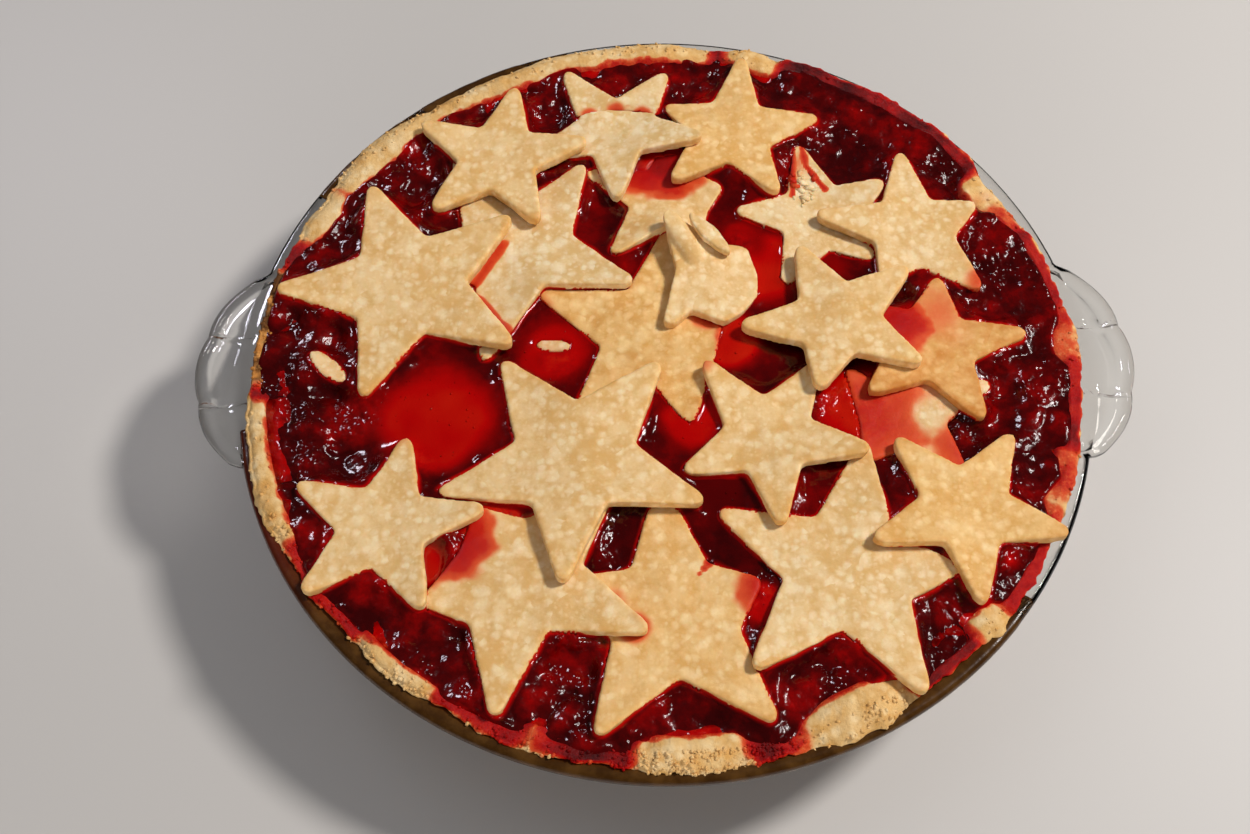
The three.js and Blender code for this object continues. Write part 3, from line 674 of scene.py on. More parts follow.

# %% [markdown]
# ## Where the syrup stands
# The filling is one surface: strawberry lumps near the rim and calm red pools between the
# middle stars. The thin film of syrup over the lowest stars is painted on them. Sculpting the filling by hand would
# take long, so its height is added up at every point of a fine round grid: the packed
# filling first, then fruit, pools, and the lip that climbs each wet edge.

# %% Pools, films and stains, in millimetres from the middle of the pie
POOLS = {  # name: x, y, radius, level of the syrup, depth of its colour
    "left pool": (-64, -18, 17, 39.6, 1.3),
    "pool behind the folded star": (30, 31, 13, 39.7, 1.25),
    "pool by the folded star": (24, 42, 7, 39.7, 2.0),
    "pool in the middle": (19, 7, 10, 39.8, 1.1),
    "pool below the middle star": (8, -20, 9, 39.6, 1.4),
    "pool at the back": (2, 67, 10, 40.0, 1.0),
    "pool at the right": (71, 10, 9, 40.0, 1.3),
    "pool under the flaky star": (46, 33, 9, 39.4, 2.4),
    "pool by the sunken star": (58, -16, 14, 39.9, 0.95),
    "pool at the front": (-47, -50, 9, 39.6, 1.3),
    "pool by the left front star": (-66, -62, 7, 39.6, 1.2),
    "pool beside the front star": (24, -74, 6, 39.8, 1.4),
    "gap left of the middle": (-31, 4, 11, 39.3, 1.5),
    "gap below the middle": (14, -38, 9, 39.0, 3.3),
}
FILMS = [  # star, x, y, reach, millimetres of syrup lying over it there
    ("star_small_under_back", 0, 73, 19, 2.2),
    ("star_large_middle", 27, 8, 15, 1.9),
    ("star_large_middle", 14, 16, 8, 0.9),
    ("star_large_middle", 5, -25, 7, 1.1),
    ("star_large_middle", -34, 20, 6, 0.15),
    ("star_small_right", 67, 11, 13, 1.5),
    ("star_small_right", 79, 14, 18, 0.22),
    ("star_small_sunken", 58, -18, 26, 0.7),
    ("star_small_sunken", 84, -30, 17, 0.6),
    ("star_small_right_back", 94, 25, 9, 0.35),
    ("star_small_right_back", 95, 38, 15, 0.16),
    ("star_small_left_front", -73, -25, 6, 0.15),
    ("star_small_middle_right", 11, -3, 6, 0.22),
    ("star_large_front_left", -60, -55, 17, 1.7),
    ("star_large_front_left", -5, -77, 8, 0.14),
    ("star_large_front", -9.5, -80.5, 6.5, 0.6),
    ("star_large_front", -15, -73, 6, 0.35),
    ("star_large_front", 26, -71, 12, 0.9),
    ("star_large_front", 10.5, -62.5, 1.8, 0.8),
    ("star_large_front", 9.3, -64.0, 1.4, 0.6),
    ("star_large_front", 8.0, -65.5, 1.0, 0.5),
    ("star_large_front_right", 13, -46, 6, 0.15),
    ("star_large_front_right", 48, -26, 7, 0.12),
    ("star_large_back_left", -52, 11, 7, 0.16),
    ("star_small_flaky", 42, 70, 7, 0.2),
    ("star_small_back_upper", -21, 88.5, 4.5, 0.5),
    ("star_small_back_upper", -13, 91, 4.5, 0.5),
    ("star_small_back_upper", -5, 89.5, 4.5, 0.6),
    ("star_small_back_upper", 2, 86, 5, 1.0),
    ("scrap_left", -95, -1, 14, 0.07),
    ("scrap_middle", -33, 4, 12, 0.1),
]
STREAKS = [  # star, from, to, width, millimetres of syrup drawn into the crease beside another star
    ("star_large_back_left", (-57.2, 22.0), (-47.4, 40.5), 4.4, 0.55),
    ("star_large_back_left", (-54.5, 22.5), (-41.0, 4.0), 4.6, 0.6),
    ("star_small_flaky", (44.5, 76.0), (45.2, 69.0), 2.4, 0.7),
    ("star_small_flaky", (45.2, 69.0), (50.3, 60.0), 2.2, 0.8),
    ("star_small_flaky", (41.0, 75.0), (40.5, 58.0), 2.6, 0.7),
]
FOAM = [  # x, y, reach of the small bubbles and bits that glint in the pools
    (23, 41, 4), (61, -38, 8), (26, -72, 6), (54, -12, 5), (-20, -45, 4), (-30, 1, 5), (45, -14, 4), (16, -24, 4),
    (-16, -62, 5), (-69, -33, 5),
]
DRY_PATCH = (73, -18.5, 5.0)  # the bare bit in the middle of the sunken star

# %% The round grid
GRID = 310
ROUND = np.radians(np.arange(360))
RIM_TOP = height_on(packed_crust, 116 * np.cos(ROUND), 116 * np.sin(ROUND))
RIM_PROUD = smooth(*PROUD, RIM_TOP)
BORDER = SHORE + blend(2.4, blend(-1.0, 1.1, narrow_rim(np.arange(360))), RIM_PROUD) + 0.8 * bumps(116 * np.cos(ROUND), 116 * np.sin(ROUND), 5, 61)


def round_grid(count):
    """Points of a square grid bent to a disc of radius 1, as x and y."""
    line = np.linspace(-1, 1, count + 1)
    a, b = (axis.ravel() for axis in np.meshgrid(line, line))
    wide = np.abs(a) > np.abs(b)
    safe_a, safe_b = np.where(a == 0, 1, a), np.where(b == 0, 1, b)
    angle = np.where(wide, math.pi / 4 * b / safe_a, math.pi / 2 - math.pi / 4 * a / safe_b)
    reach = np.where(wide, a, b)
    return reach * np.cos(angle), reach * np.sin(angle)


unit_x, unit_y = round_grid(GRID)
bearing = np.degrees(np.arctan2(unit_y, unit_x)) % 360
border = by_angle(BORDER, bearing)
x, y = unit_x * border, unit_y * border
radius = np.hypot(x, y)
star_trees = {node: surface_of(star.data) for node, star in stars.items()}
all_stars = surface_of(*(star.data for star in stars.values()))
packed = height_on(packed_filling, x * 0.97, y * 0.97)
crust_top = height_on(crust_tree, x, y)
star_top = height_on(all_stars, x, y)
star_under = height_on(all_stars, x, y, from_below=True)


# %% Height of the filling
def near(px, py, reach, soft=0.35):
    """1 around a place and 0 beyond its reach, with an uneven edge."""
    off = np.hypot(x - px, y - py) / reach
    off = off + 0.14 * bumps(x, y, reach * 0.6, 3)
    return 1 - smooth(1 - soft, 1 + soft, off)


def fruit_domes(count, seed):
    """The highest of many rounded, slightly long lumps at each point, from 0 to 1."""
    draw = np.random.default_rng(seed)
    heights = np.zeros(len(x))
    for _ in range(count):
        reach, angle = filling_high.x * math.sqrt(draw.random()), draw.random() * 2 * math.pi
        cx, cy = reach * math.cos(angle), reach * math.sin(angle)
        size, stretch = draw.uniform(3.0, 7.5), draw.uniform(1.0, 1.7)
        turn, peak = draw.random() * math.pi, draw.uniform(0.35, 1.0)
        dx, dy = x - cx, y - cy
        u = (dx * math.cos(turn) + dy * math.sin(turn)) / (size * stretch)
        v = (dy * math.cos(turn) - dx * math.sin(turn)) / size
        inside = np.clip(1 - u * u - v * v, 0, None)
        heights = np.maximum(heights, peak * inside ** 0.8)
    return heights


def spread(values, passes):
    """Values on the round grid, blurred a little further with each pass."""
    square = values.reshape(GRID + 1, GRID + 1)
    for _ in range(passes):
        padded = np.pad(square, 1, mode="edge")
        square = (padded[:-2, 1:-1] + padded[2:, 1:-1] + padded[1:-1, :-2] + padded[1:-1, 2:]) / 4
    return square.ravel()


calm = np.zeros(len(x))
level = np.minimum(packed, 40.2) + blend(2.3, 1.2, smooth(55, 88, radius))
highest = blend(40.6, 42.2, smooth(50, 92, radius))
held = (star_under > 0) & (star_under < highest)
held_share = spread(held.astype(float), 60)
held_level = spread(np.where(held, np.minimum(star_under + 2.2, highest), 0.0), 60) / np.maximum(held_share, 1e-6)
level = blend(level, held_level, smooth(0.02, 0.4, held_share))
for px, py, reach, pool_level, _ in POOLS.values():
    weight = near(px, py, reach)
    level = blend(level, pool_level, weight)
    calm = np.maximum(calm, weight)
fruity = blend(0.42, 1.0, smooth(58, 84, radius)) * (1 - calm)
domes = fruit_domes(900, 7)
fine = 0.5 * bumps(x, y, 2.4, 11) + 0.3 * bumps(x, y, 1.4, 12)
syrup = level + fruity * (1.9 * (domes - 0.5) + 0.3 * fine) + 0.05 * bumps(x, y, 9, 5)
syrup = np.where(star_top > 0, np.minimum(syrup, star_top - 0.35), syrup)
print("fruit stands", round(float(np.ptp(syrup)), 1), "mm high in all")

# %% The shore, and the lip at every wet edge
syrup = blend(crust_top - 0.5, syrup, smooth(0.1, 1.5, border - radius))


def film_depth(px, py, node=None):
    """Syrup that lies over one star, or over any of them, at given places."""
    depth_here = np.zeros(len(px))
    for star, fx, fy, reach, deepest in FILMS:
        if node in (None, star):
            off = np.hypot(px - fx, py - fy) / reach + 0.10 * bumps(px, py, 4.5, 3) + 0.05 * bumps(px, py, 1.8, 4)
            film = deepest * (1 - smooth(0.0, 1.05, off))
            if star == "star_small_sunken":
                dry_x, dry_y, dry_reach = DRY_PATCH
                film = film * (0.12 + 0.88 * smooth(0.2, 1.7, np.hypot(px - dry_x, py - dry_y) / dry_reach))
            depth_here = np.maximum(depth_here, film)
    for star, start, stop, width, deepest in STREAKS:
        if star == node:
            uneven_width = width * (1 + 0.5 * bumps(px, py, 3.0, 8))
            depth_here = np.maximum(depth_here, deepest * ridge(px, py, start, stop, uneven_width) ** 2.5)
    return depth_here


LIP_REACH = 3.0
edge = np.full(len(x), LIP_REACH)
for k in range(len(x)):
    spot = Vector((x[k], y[k], syrup[k]))
    place, normal, _, distance = all_stars.find_nearest(spot, LIP_REACH)
    if place is not None:
        edge[k] = math.copysign(distance, (spot - place).dot(normal))
lip = 0.35 * np.exp(-np.clip(edge, 0, None) / 0.8) * (edge < LIP_REACH)
syrup = np.where((star_top > 0) & (syrup < star_top), np.minimum(syrup + lip, star_top - 1.0), syrup + lip)
over_star = np.where(star_top > 0, syrup - star_top, DEEPEST)
over_crust = np.where(radius > 100, syrup - crust_top, DEEPEST)
print("points at a wet edge:", int((np.abs(edge) < 1).sum()))

# %% Colour depth
ORANGE = ((2, 20), (350, 359), (330, 344), (319, 331), (283, 290), (240, 249), (210, 225))


def rim_stain(angle):
    """Depth of the syrup's colour where it meets the crust, at an angle round the rim."""
    orange = np.max([within(angle, *stretch) for stretch in ORANGE], 0)
    uneven = 1 + 0.4 * bumps(116 * np.cos(np.radians(angle)), 116 * np.sin(np.radians(angle)), 5, 62)
    return blend(blend(2.6, 1.3, orange) * uneven, 0.8, by_angle(RIM_PROUD, angle))


foam = np.max([near(*spot) for spot in FOAM], 0)
fruity = np.maximum(fruity, 0.7 * foam)
depth = blend(3.6, 4.1, smooth(40, 80, radius)) - 1.6 * domes * fruity + 0.7 * bumps(x, y, 11, 15) - 0.3 * fine
for px, py, reach, _, shown in POOLS.values():
    depth = blend(depth, shown + 0.2 * bumps(x, y, 6, 8), near(px, py, reach))
edge = np.minimum(edge + LIP_REACH * smooth(0.05, 0.4, film_depth(x, y)), LIP_REACH)
inward = border - radius
slope = blend(1.2, 2.4, 0.5 + 0.5 * bumps(x, y, 9, 31)) * blend(1.0, 0.55, by_angle(RIM_PROUD, bearing))
depth = np.minimum(depth, rim_stain(bearing) + slope * inward)
thin = np.maximum(1.2 * over_star, film_depth(x, y))
depth = np.where((over_star > 0) & (over_star < DEEPEST), np.minimum(depth, thin), depth)
depth = np.clip(depth, 0, DEEPEST)


# %% Shape of the filling below its surface
def filling_piece():
    """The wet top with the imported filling's own underside below it."""
    count = GRID + 1
    number = np.arange(count * count).reshape(count, count)
    quads = np.stack([number[:-1, :-1], number[:-1, 1:], number[1:, 1:], number[1:, :-1]], -1)
    faces = quads.reshape(-1, 4).tolist()
    ring = np.concatenate([number[0, :-1], number[:-1, -1], number[-1, :0:-1], number[:0:-1, 0]])
    points = [np.stack([x, y, syrup], 1)]
    direction = np.stack([x[ring], y[ring]], 1) / radius[ring, None]
    previous, first = ring, len(x)
    base = filling_low.z
    for out, z in ((SHORE.min() - 3.5, 39.0), (105.2, 37.6), (81.9, base + 1.2), (79.5, base)):
        points.append(np.column_stack([direction * out, np.full(len(ring), z)]))
        current = np.arange(first, first + len(ring))
        faces += np.stack([previous, current, np.roll(current, -1), np.roll(previous, -1)], 1).tolist()
        previous, first = current, first + len(ring)
    points.append(np.array([[0, 0, base]]))
    faces += [(int(a), int(b), first) for b, a in zip(previous, np.roll(previous, -1))]
    piece = mesh_object("strawberry_syrup", np.concatenate(points), faces)
    extra = len(piece.data.vertices) - len(x)
    for name, values, below in (("depth", depth, 2.5), ("fruit", fruity, 1.0), ("edge", edge, LIP_REACH)):
        paint(piece, name, np.concatenate([values, np.full(extra, below)]))
    return piece


filling = filling_piece()
print("filling faces:", len(filling.data.polygons))


# %% Strawberry filling material
def syrup_material():
    material, tree, shader, place = new_material("strawberry_filling")
    stored, fruit, wet_edge = (painted(tree, name) for name in ("depth", "fruit", "edge"))
    mottle = sums(tree, "SUBTRACT", noise(tree, place, 240, 4.0, 0.6), 0.5)
    uneven = sums(tree, "MULTIPLY", mottle, sums(tree, "MULTIPLY_ADD", fruit, 3.0, 0.3))
    shallow = soft_step(tree, stored, 0.05, 1.2)
    depth_here = sums(tree, "MULTIPLY_ADD", uneven, shallow, stored)
    steep = sums(tree, "MULTIPLY_ADD", noise(tree, place, 90, 1.0), 4.0, 0.4)
    rim_line = sums(tree, "MULTIPLY_ADD", sums(tree, "MAXIMUM", wet_edge, 0.0), steep, 0.7)
    depth_here = sums(tree, "MINIMUM", depth_here, rim_line)
    pastry = pastry_colour(tree, place, 0.0)
    colour = mixed(tree, soft_step(tree, depth_here, 0.0, 0.2), pastry, syrup_colour(tree, depth_here))
    tree.links.new(colour, shader.inputs["Base Color"])
    tree.links.new(sums(tree, "MULTIPLY_ADD", fruit, 0.08, 0.06), shader.inputs["Roughness"])
    shader.inputs["IOR"].default_value = 1.45
    beads = add(tree, "ShaderNodeTexVoronoi", {"Vector": place, "Scale": 560.0}, feature="SMOOTH_F1")
    domed = sums(tree, "SUBTRACT", 1.0, beads.outputs["Distance"])
    somewhere = soft_step(tree, noise(tree, place, 80, 2.0), 0.46, 0.62)
    seeded = sums(tree, "MULTIPLY", sums(tree, "MULTIPLY", domed, somewhere), 2.0)
    rough_here = sums(tree, "MULTIPLY", fruit, soft_step(tree, wet_edge, 0.2, 2.0))
    lumpy = sums(tree, "MULTIPLY", sums(tree, "ADD", seeded, noise(tree, place, 330, 2.0)), rough_here)
    lip = sums(tree, "EXPONENT", sums(tree, "MULTIPLY", sums(tree, "MAXIMUM", wet_edge, 0.0), -0.8))
    height = sums(tree, "MULTIPLY_ADD", lip, 1.5, lumpy)
    bumpy(tree, shader, height, 0.9, 0.45)
    return material


SYRUP = syrup_material()
filling.data.materials.append(SYRUP)


# %% Stained edges of the stars
def grid_height(px, py):
    """Height of the syrup at any place, from the round grid."""
    a = np.degrees(np.arctan2(py, px)) % 360
    reach = np.minimum(np.hypot(px, py) / by_angle(BORDER, a), 1)
    u, v = reach * np.cos(np.radians(a)), reach * np.sin(np.radians(a))
    wide = np.abs(u) > np.abs(v)
    near_axis, off_axis = np.where(wide, u, v), np.where(wide, v, u)
    side = np.sign(near_axis) * reach
    other = side * np.arctan(off_axis / np.where(near_axis == 0, 1, near_axis)) * 4 / math.pi
    column, row = np.where(wide, side, other), np.where(wide, other, side)
    i = np.clip(np.rint((column + 1) / 2 * GRID).astype(int), 0, GRID)
    j = np.clip(np.rint((row + 1) / 2 * GRID).astype(int), 0, GRID)
    return syrup.reshape(GRID + 1, GRID + 1)[j, i]


def stain_star(node, star):
    px, py, pz = points_of(star).T
    above = pz - grid_height(px, py) - 0.4 * bumps(px, py, 5, 71)
    at_edge = 1 - smooth(0.4, 1.1, edge_gaps[node] + 0.2 * bumps(px, py, 3, 72))
    stain = 1.5 * (1 - smooth(-0.3, 0.9, above)) * at_edge
    film = film_depth(px, py, node)
    paint(star, "stain", np.maximum(stain, film * upper_sides[node]))


for node, star in stars.items():
    stain_star(node, star)

# %% Crust finish
def dress_crust():
    px, py, pz = points_of(crust).T
    reach, angle = np.hypot(px, py), np.degrees(np.arctan2(py, px)) % 360
    proud = by_angle(RIM_PROUD, angle)
    outer = [reach[(angle // 1 == degree) & (pz > 39)].max() for degree in range(360)]
    past = reach - by_angle(BORDER, angle)
    outwards = past / (by_angle(np.array(outer), angle) - by_angle(BORDER, angle))
    speckle = bumps(px, py, 3.2, 51) + 0.6 * bumps(px, py, 1.3, 52)
    fading = blend(smooth(0.45, 1.15, outwards + 0.22 * speckle), smooth(-2.4, -0.2, past + 0.6 * speckle), proud)
    bare = smooth(0.35, 0.8, speckle) * smooth(0.5, 0.9, outwards)
    scorched = within(angle, 163, 184)
    stain = blend(rim_stain(angle), 0.24 * (1 - proud), fading) * (1 - bare) * (1 - scorched)
    outside = pz < 38.4
    paint(crust, "stain", np.where(outside, 0.0, np.maximum(stain, 0)))
    brown = blend(0.5, 0.42, proud) + 0.2 * bumps(px, py, 4, 53) + scorched * (1.0 + 0.5 * speckle)
    paint(crust, "browned", np.where(outside, 0.7, np.clip(brown, 0, 2)))
    crumbly = 0.03 + 0.9 * scorched + 0.3 * within(angle, 205, 300) + 0.7 * within(angle, 256, 286) + 0.12 * proud
    paint(crust, "crumbly", np.where(outside | (reach < 113), 0.0, crumbly))


def crust_material():
    material, tree, shader, place = new_material("crust_pastry")
    browned = painted(tree, "browned")
    pastry = pastry_colour(tree, place, browned)
    patches = soft_step(tree, sums(tree, "ADD", browned, noise(tree, place, 300, 4.0)), 1.7, 2.3)
    pastry = mixed(tree, patches, pastry, SCORCHED)
    colour, wet = soaked_colour(tree, place, pastry, painted(tree, "stain"), 2.6)
    tree.links.new(colour, shader.inputs["Base Color"])
    tree.links.new(sums(tree, "MULTIPLY_ADD", wet, -0.17, 0.62), shader.inputs["Roughness"])
    shader.inputs["IOR"].default_value = 1.42
    shader.inputs["Specular IOR Level"].default_value = 0.25
    bumpy(tree, shader, noise(tree, place, 520, 6.0, 0.68), 0.8, 0.9)
    return material


dress_crust()
CRUST_PASTRY = crust_material()
crust.data.materials.append(CRUST_PASTRY)

# %% [markdown]
# ## The glass dish
# Pressed glass is one thickness everywhere, with a rolled bead along each handle and two
# soft dips that part it in three lobes. It is turned like the crust, but the rim's
# section is drawn outwards where a handle grows from it. A worn brown line of old residue
# is painted in each dip, and the dark skin on the rim is a piece of its own, below.

# %% Dish shape
DISH_STEPS = 720
RIM_RADIUS, RIM_HEIGHT = cad_high.y / MM - 0.2, 40.0
HANDLE_REACH = cad_high.x / MM
HANDLE_HALF_WIDTH, HANDLE_FLUTE, BEAD = 31.5, 1.3, 2.4
FLUTE_ANGLE, FLUTE_WIDTH = 5.2, 1.3  # degrees from the middle of a handle
RIM_ROUND = [(-1.8, 36.0), (-0.4, 36.9), (0, 38), (-0.1, 39), (-0.6, 39.7), (-1.3, 40), (-2.2, 39.95), (-3.0, 39.7),
             (-4.4, 39.3)]  # the rim's section, out from its radius and up from the table


def handle_edge(along):
    """Outside of a handle at a distance along the rim from its middle."""
    run = abs(along) / (HANDLE_HALF_WIDTH + 1.5)
    bow = max(1 - run ** 2.2, 0) ** 0.75
    lobe = abs(math.cos(1.5 * math.pi * along / HANDLE_HALF_WIDTH)) ** 0.7
    fade = 1 - float(smooth(0.7, 1, run))
    return 116 + (HANDLE_REACH - 116) * bow - HANDLE_FLUTE * (1 - lobe) * fade


def rim_reach(angle):
    """Outer radius of the glass at an angle, handles and all."""
    across, ahead = abs(math.sin(angle)), max(abs(math.cos(angle)), 0.5)
    if across * RIM_RADIUS >= HANDLE_HALF_WIDTH + 1:
        return RIM_RADIUS
    reach = 128.0
    for _ in range(12):
        reach = handle_edge(reach * across) / ahead
    return max(RIM_RADIUS, reach)


def dish_section(angle):
    reach = rim_reach(angle)
    tab = float(smooth(0.3, 4.0, reach - RIM_RADIUS))
    from_flute = abs(abs(math.degrees(math.asin(math.sin(angle)))) - FLUTE_ANGLE) / FLUTE_WIDTH
    groove = 0.5 + 0.5 * math.cos(math.pi * min(from_flute, 1))
    under = [(0, 0), (45, 0), (80, 0), (82.6, 0.25), (85.2, 1.2), (88.2, 3.6), (94, 10.6), (100, 18),
             (106, 25.4), (110.6, 31.0), (112.4, 33.2), (114.6, 34.5), (117.4, 35.4)]
    plain = [(RIM_RADIUS + out, z) for out, z in RIM_ROUND]
    r, z = reach - BEAD, RIM_HEIGHT - BEAD - 0.6
    bead = [(119.2, 35.2), (r - 2.2, z - 1.6), (r - 0.4, z - BEAD), (r + 0.7 * BEAD, z - 0.72 * BEAD),
            (reach, z), (r + 0.72 * BEAD, z + 0.72 * BEAD), (r, z + BEAD), (r - 0.75 * BEAD, z + 0.7 * BEAD),
            (r - 1.35 * BEAD, z + 0.15 * BEAD - 0.9 * groove)]
    lip = [(blend(a[0], b[0], tab), blend(a[1], b[1], tab)) for a, b in zip(plain, bead)]
    shoulder = [((114.6, 38.8), (121.2, 38.2 - 0.5 * groove)), ((113.4, 38.45), (118.6, 39.4)),
                ((112.9, 38.3), (115.5, 39.2))]
    web = [(blend(a[0], b[0], tab), blend(a[1], b[1], tab)) for a, b in shoulder]
    inside = [(112.4, 38.1), (110.6, 37.4), (109, 36.2), (107.6, 34.6), (103, 29), (96, 20.5), (90, 13.2),
              (86.2, 8.6), (84.4, 6.7), (82, 5.5), (79, 5.2), (45, 5.2), (0, 5.2)]
    return under + lip + web + inside


def glass_material():
    material, tree, shader, place = new_material("dish_glass")
    apart = add(tree, "ShaderNodeSeparateXYZ", {"Vector": place})
    ahead, across = (sums(tree, "ABSOLUTE", apart.outputs[k]) for k in (0, 1))
    off_groove = sums(tree, "MULTIPLY_ADD", ahead, -math.tan(math.radians(FLUTE_ANGLE)), across)
    line = sums(tree, "SUBTRACT", 1.0, soft_step(tree, sums(tree, "ABSOLUTE", off_groove), 0.10 * MM, 0.45 * MM))
    on_tab = soft_step(tree, sums(tree, "ADD", ahead, noise(tree, place, 300)), 0.121 + 0.5, 0.123 + 0.5)
    worn = soft_step(tree, noise(tree, place, 120, 3.0), 0.40, 0.62)
    residue = sums(tree, "MULTIPLY", sums(tree, "MULTIPLY", line, worn), on_tab)
    glass, brown = (0.88, 0.88, 0.86, 1), (0.09, 0.03, 0.008, 1)
    tree.links.new(mixed(tree, residue, glass, brown), shader.inputs["Base Color"])
    tree.links.new(sums(tree, "SUBTRACT", 1.0, residue), shader.inputs["Transmission Weight"])
    shader.inputs["IOR"].default_value = 1.47
    smear = soft_step(tree, noise(tree, place, 60, 4.0, 0.6), 0.55, 0.85)
    tree.links.new(sums(tree, "MULTIPLY", smear, 0.10), shader.inputs["Roughness"])
    bumpy(tree, shader, noise(tree, place, 45, 1.0), 0.15, 0.8)
    return material


dish = turned("dish", [dish_section(2 * math.pi * k / DISH_STEPS) for k in range(DISH_STEPS)])
dish.data.materials.append(glass_material())
print("dish", [round(v / MM, 1) for v in dish.dimensions])

# %% [markdown]
# ## Dried syrup and painted shade on the rim
# A dark skin lies on the front of the glass rim, olive-brown there and dark red at its left,
# and in patches at the back. It is dried syrup and painted shade: it darkens the rim where
# the shaded crust lies behind the glass, and at the back it paints a dark reflection. It could
# be painted on the glass, but clear glass shows a painted colour weakly, so it is a skin of its own: it follows the
# rim's section, stands a tenth of a millimetre proud where it is strong, and sinks into the glass elsewhere.

# %% Baked-on skin
SKIN_STEP = 0.5  # degrees
SKIN_ARCS = ((190, 322), (104, 150))
SKIN_PROUD, SKIN_SUNK, SKIN_THICK = 0.14, 0.12, 0.5


def skin_section(angle):
    """Section of the skin of dried syrup and painted shade at an angle: proud of the glass where the skin is strong.
    """
    a = math.radians(angle)
    # strength: strong on the front of the rim and in patches at the back; dried syrup and painted shade, and at the
    # back a painted dark reflection in the glass
    strength = float(within(angle, 196, 316, 5) + 0.4 * within(angle, 110, 144, 6))
    run = [(RIM_RADIUS + out, z) for out, z in RIM_ROUND[1:]] + [(114.9, 38.9)]
    out, back = [], []
    for k, (r, z) in enumerate(run):
        before, after = run[max(k - 1, 0)], run[min(k + 1, len(run) - 1)]
        ahead = Vector((after[0] - before[0], after[1] - before[1])).normalized()
        ragged = strength + 0.55 * float(bumps(np.array([r * math.cos(a)]), np.array([r * math.sin(a)]), 6, 82)[0])
        lift = blend(-SKIN_SUNK, SKIN_PROUD, float(smooth(0.15, 0.6, ragged)))
        out.append((r + ahead.y * lift, z - ahead.x * lift))
        back.append((r - ahead.y * SKIN_THICK, z + ahead.x * SKIN_THICK))
    return out + back[::-1]


def arcs_of(name, section, arcs, step):
    """Closed strips that follow a section along each arc, from one angle to another."""
    points, faces = [], []
    for start, stop in arcs:
        angles = np.arange(start, stop + step / 2, step)
        rows = [section(angle) for angle in angles]
        number = len(points) + np.arange(len(rows) * len(rows[0])).reshape(len(rows), -1)
        for angle, row in zip(np.radians(angles), rows):
            points += [(r * math.cos(angle), r * math.sin(angle), z) for r, z in row]
        here, after = number[:-1], number[1:]
        quads = np.stack([here, after, np.roll(after, -1, 1), np.roll(here, -1, 1)], -1)
        faces += quads.reshape(-1, 4).tolist() + [number[0].tolist(), number[-1, ::-1].tolist()]
    return mesh_object(name, points, faces)


def skin_material():
    material, tree, shader, place = new_material("syrup_and_painted_shade_skin")
    red = painted(tree, "red")
    cloud = soft_step(tree, noise(tree, place, 150, 4.0, 0.6), 0.35, 0.7)
    # olive-brown of dried syrup and painted shade
    brown = mixed(tree, cloud, (0.042, 0.015, 0.0015, 1), (0.095, 0.040, 0.007, 1))
    tree.links.new(mixed(tree, red, brown, (0.10, 0.004, 0.003, 1)), shader.inputs["Base Color"])
    shader.inputs["Roughness"].default_value = 0.22
    bumpy(tree, shader, noise(tree, place, 500, 3.0), 0.3, 0.3)
    return material


skin = arcs_of("rim_skin_of_syrup_and_painted_shade", skin_section, SKIN_ARCS, SKIN_STEP)
skin_angle = np.degrees(np.arctan2(points_of(skin)[:, 1], points_of(skin)[:, 0])) % 360
# the dark red at the left of the front is painted shade as well
paint(skin, "red", 0.6 * within(skin_angle, 180, 216, 8))
skin.data.materials.append(skin_material())
print("skin faces:", len(skin.data.polygons))

# %% [markdown]
# ## Crumbs and bubbles
# Hundreds of crumbs broke off the rim, and small bubbles rose in the calm pools. Placing
# them by hand would take hours. A Geometry Nodes tree scatters one small rough ball over
# a surface, more of it where an attribute is high, at random turns and sizes from a
# fixed seed.


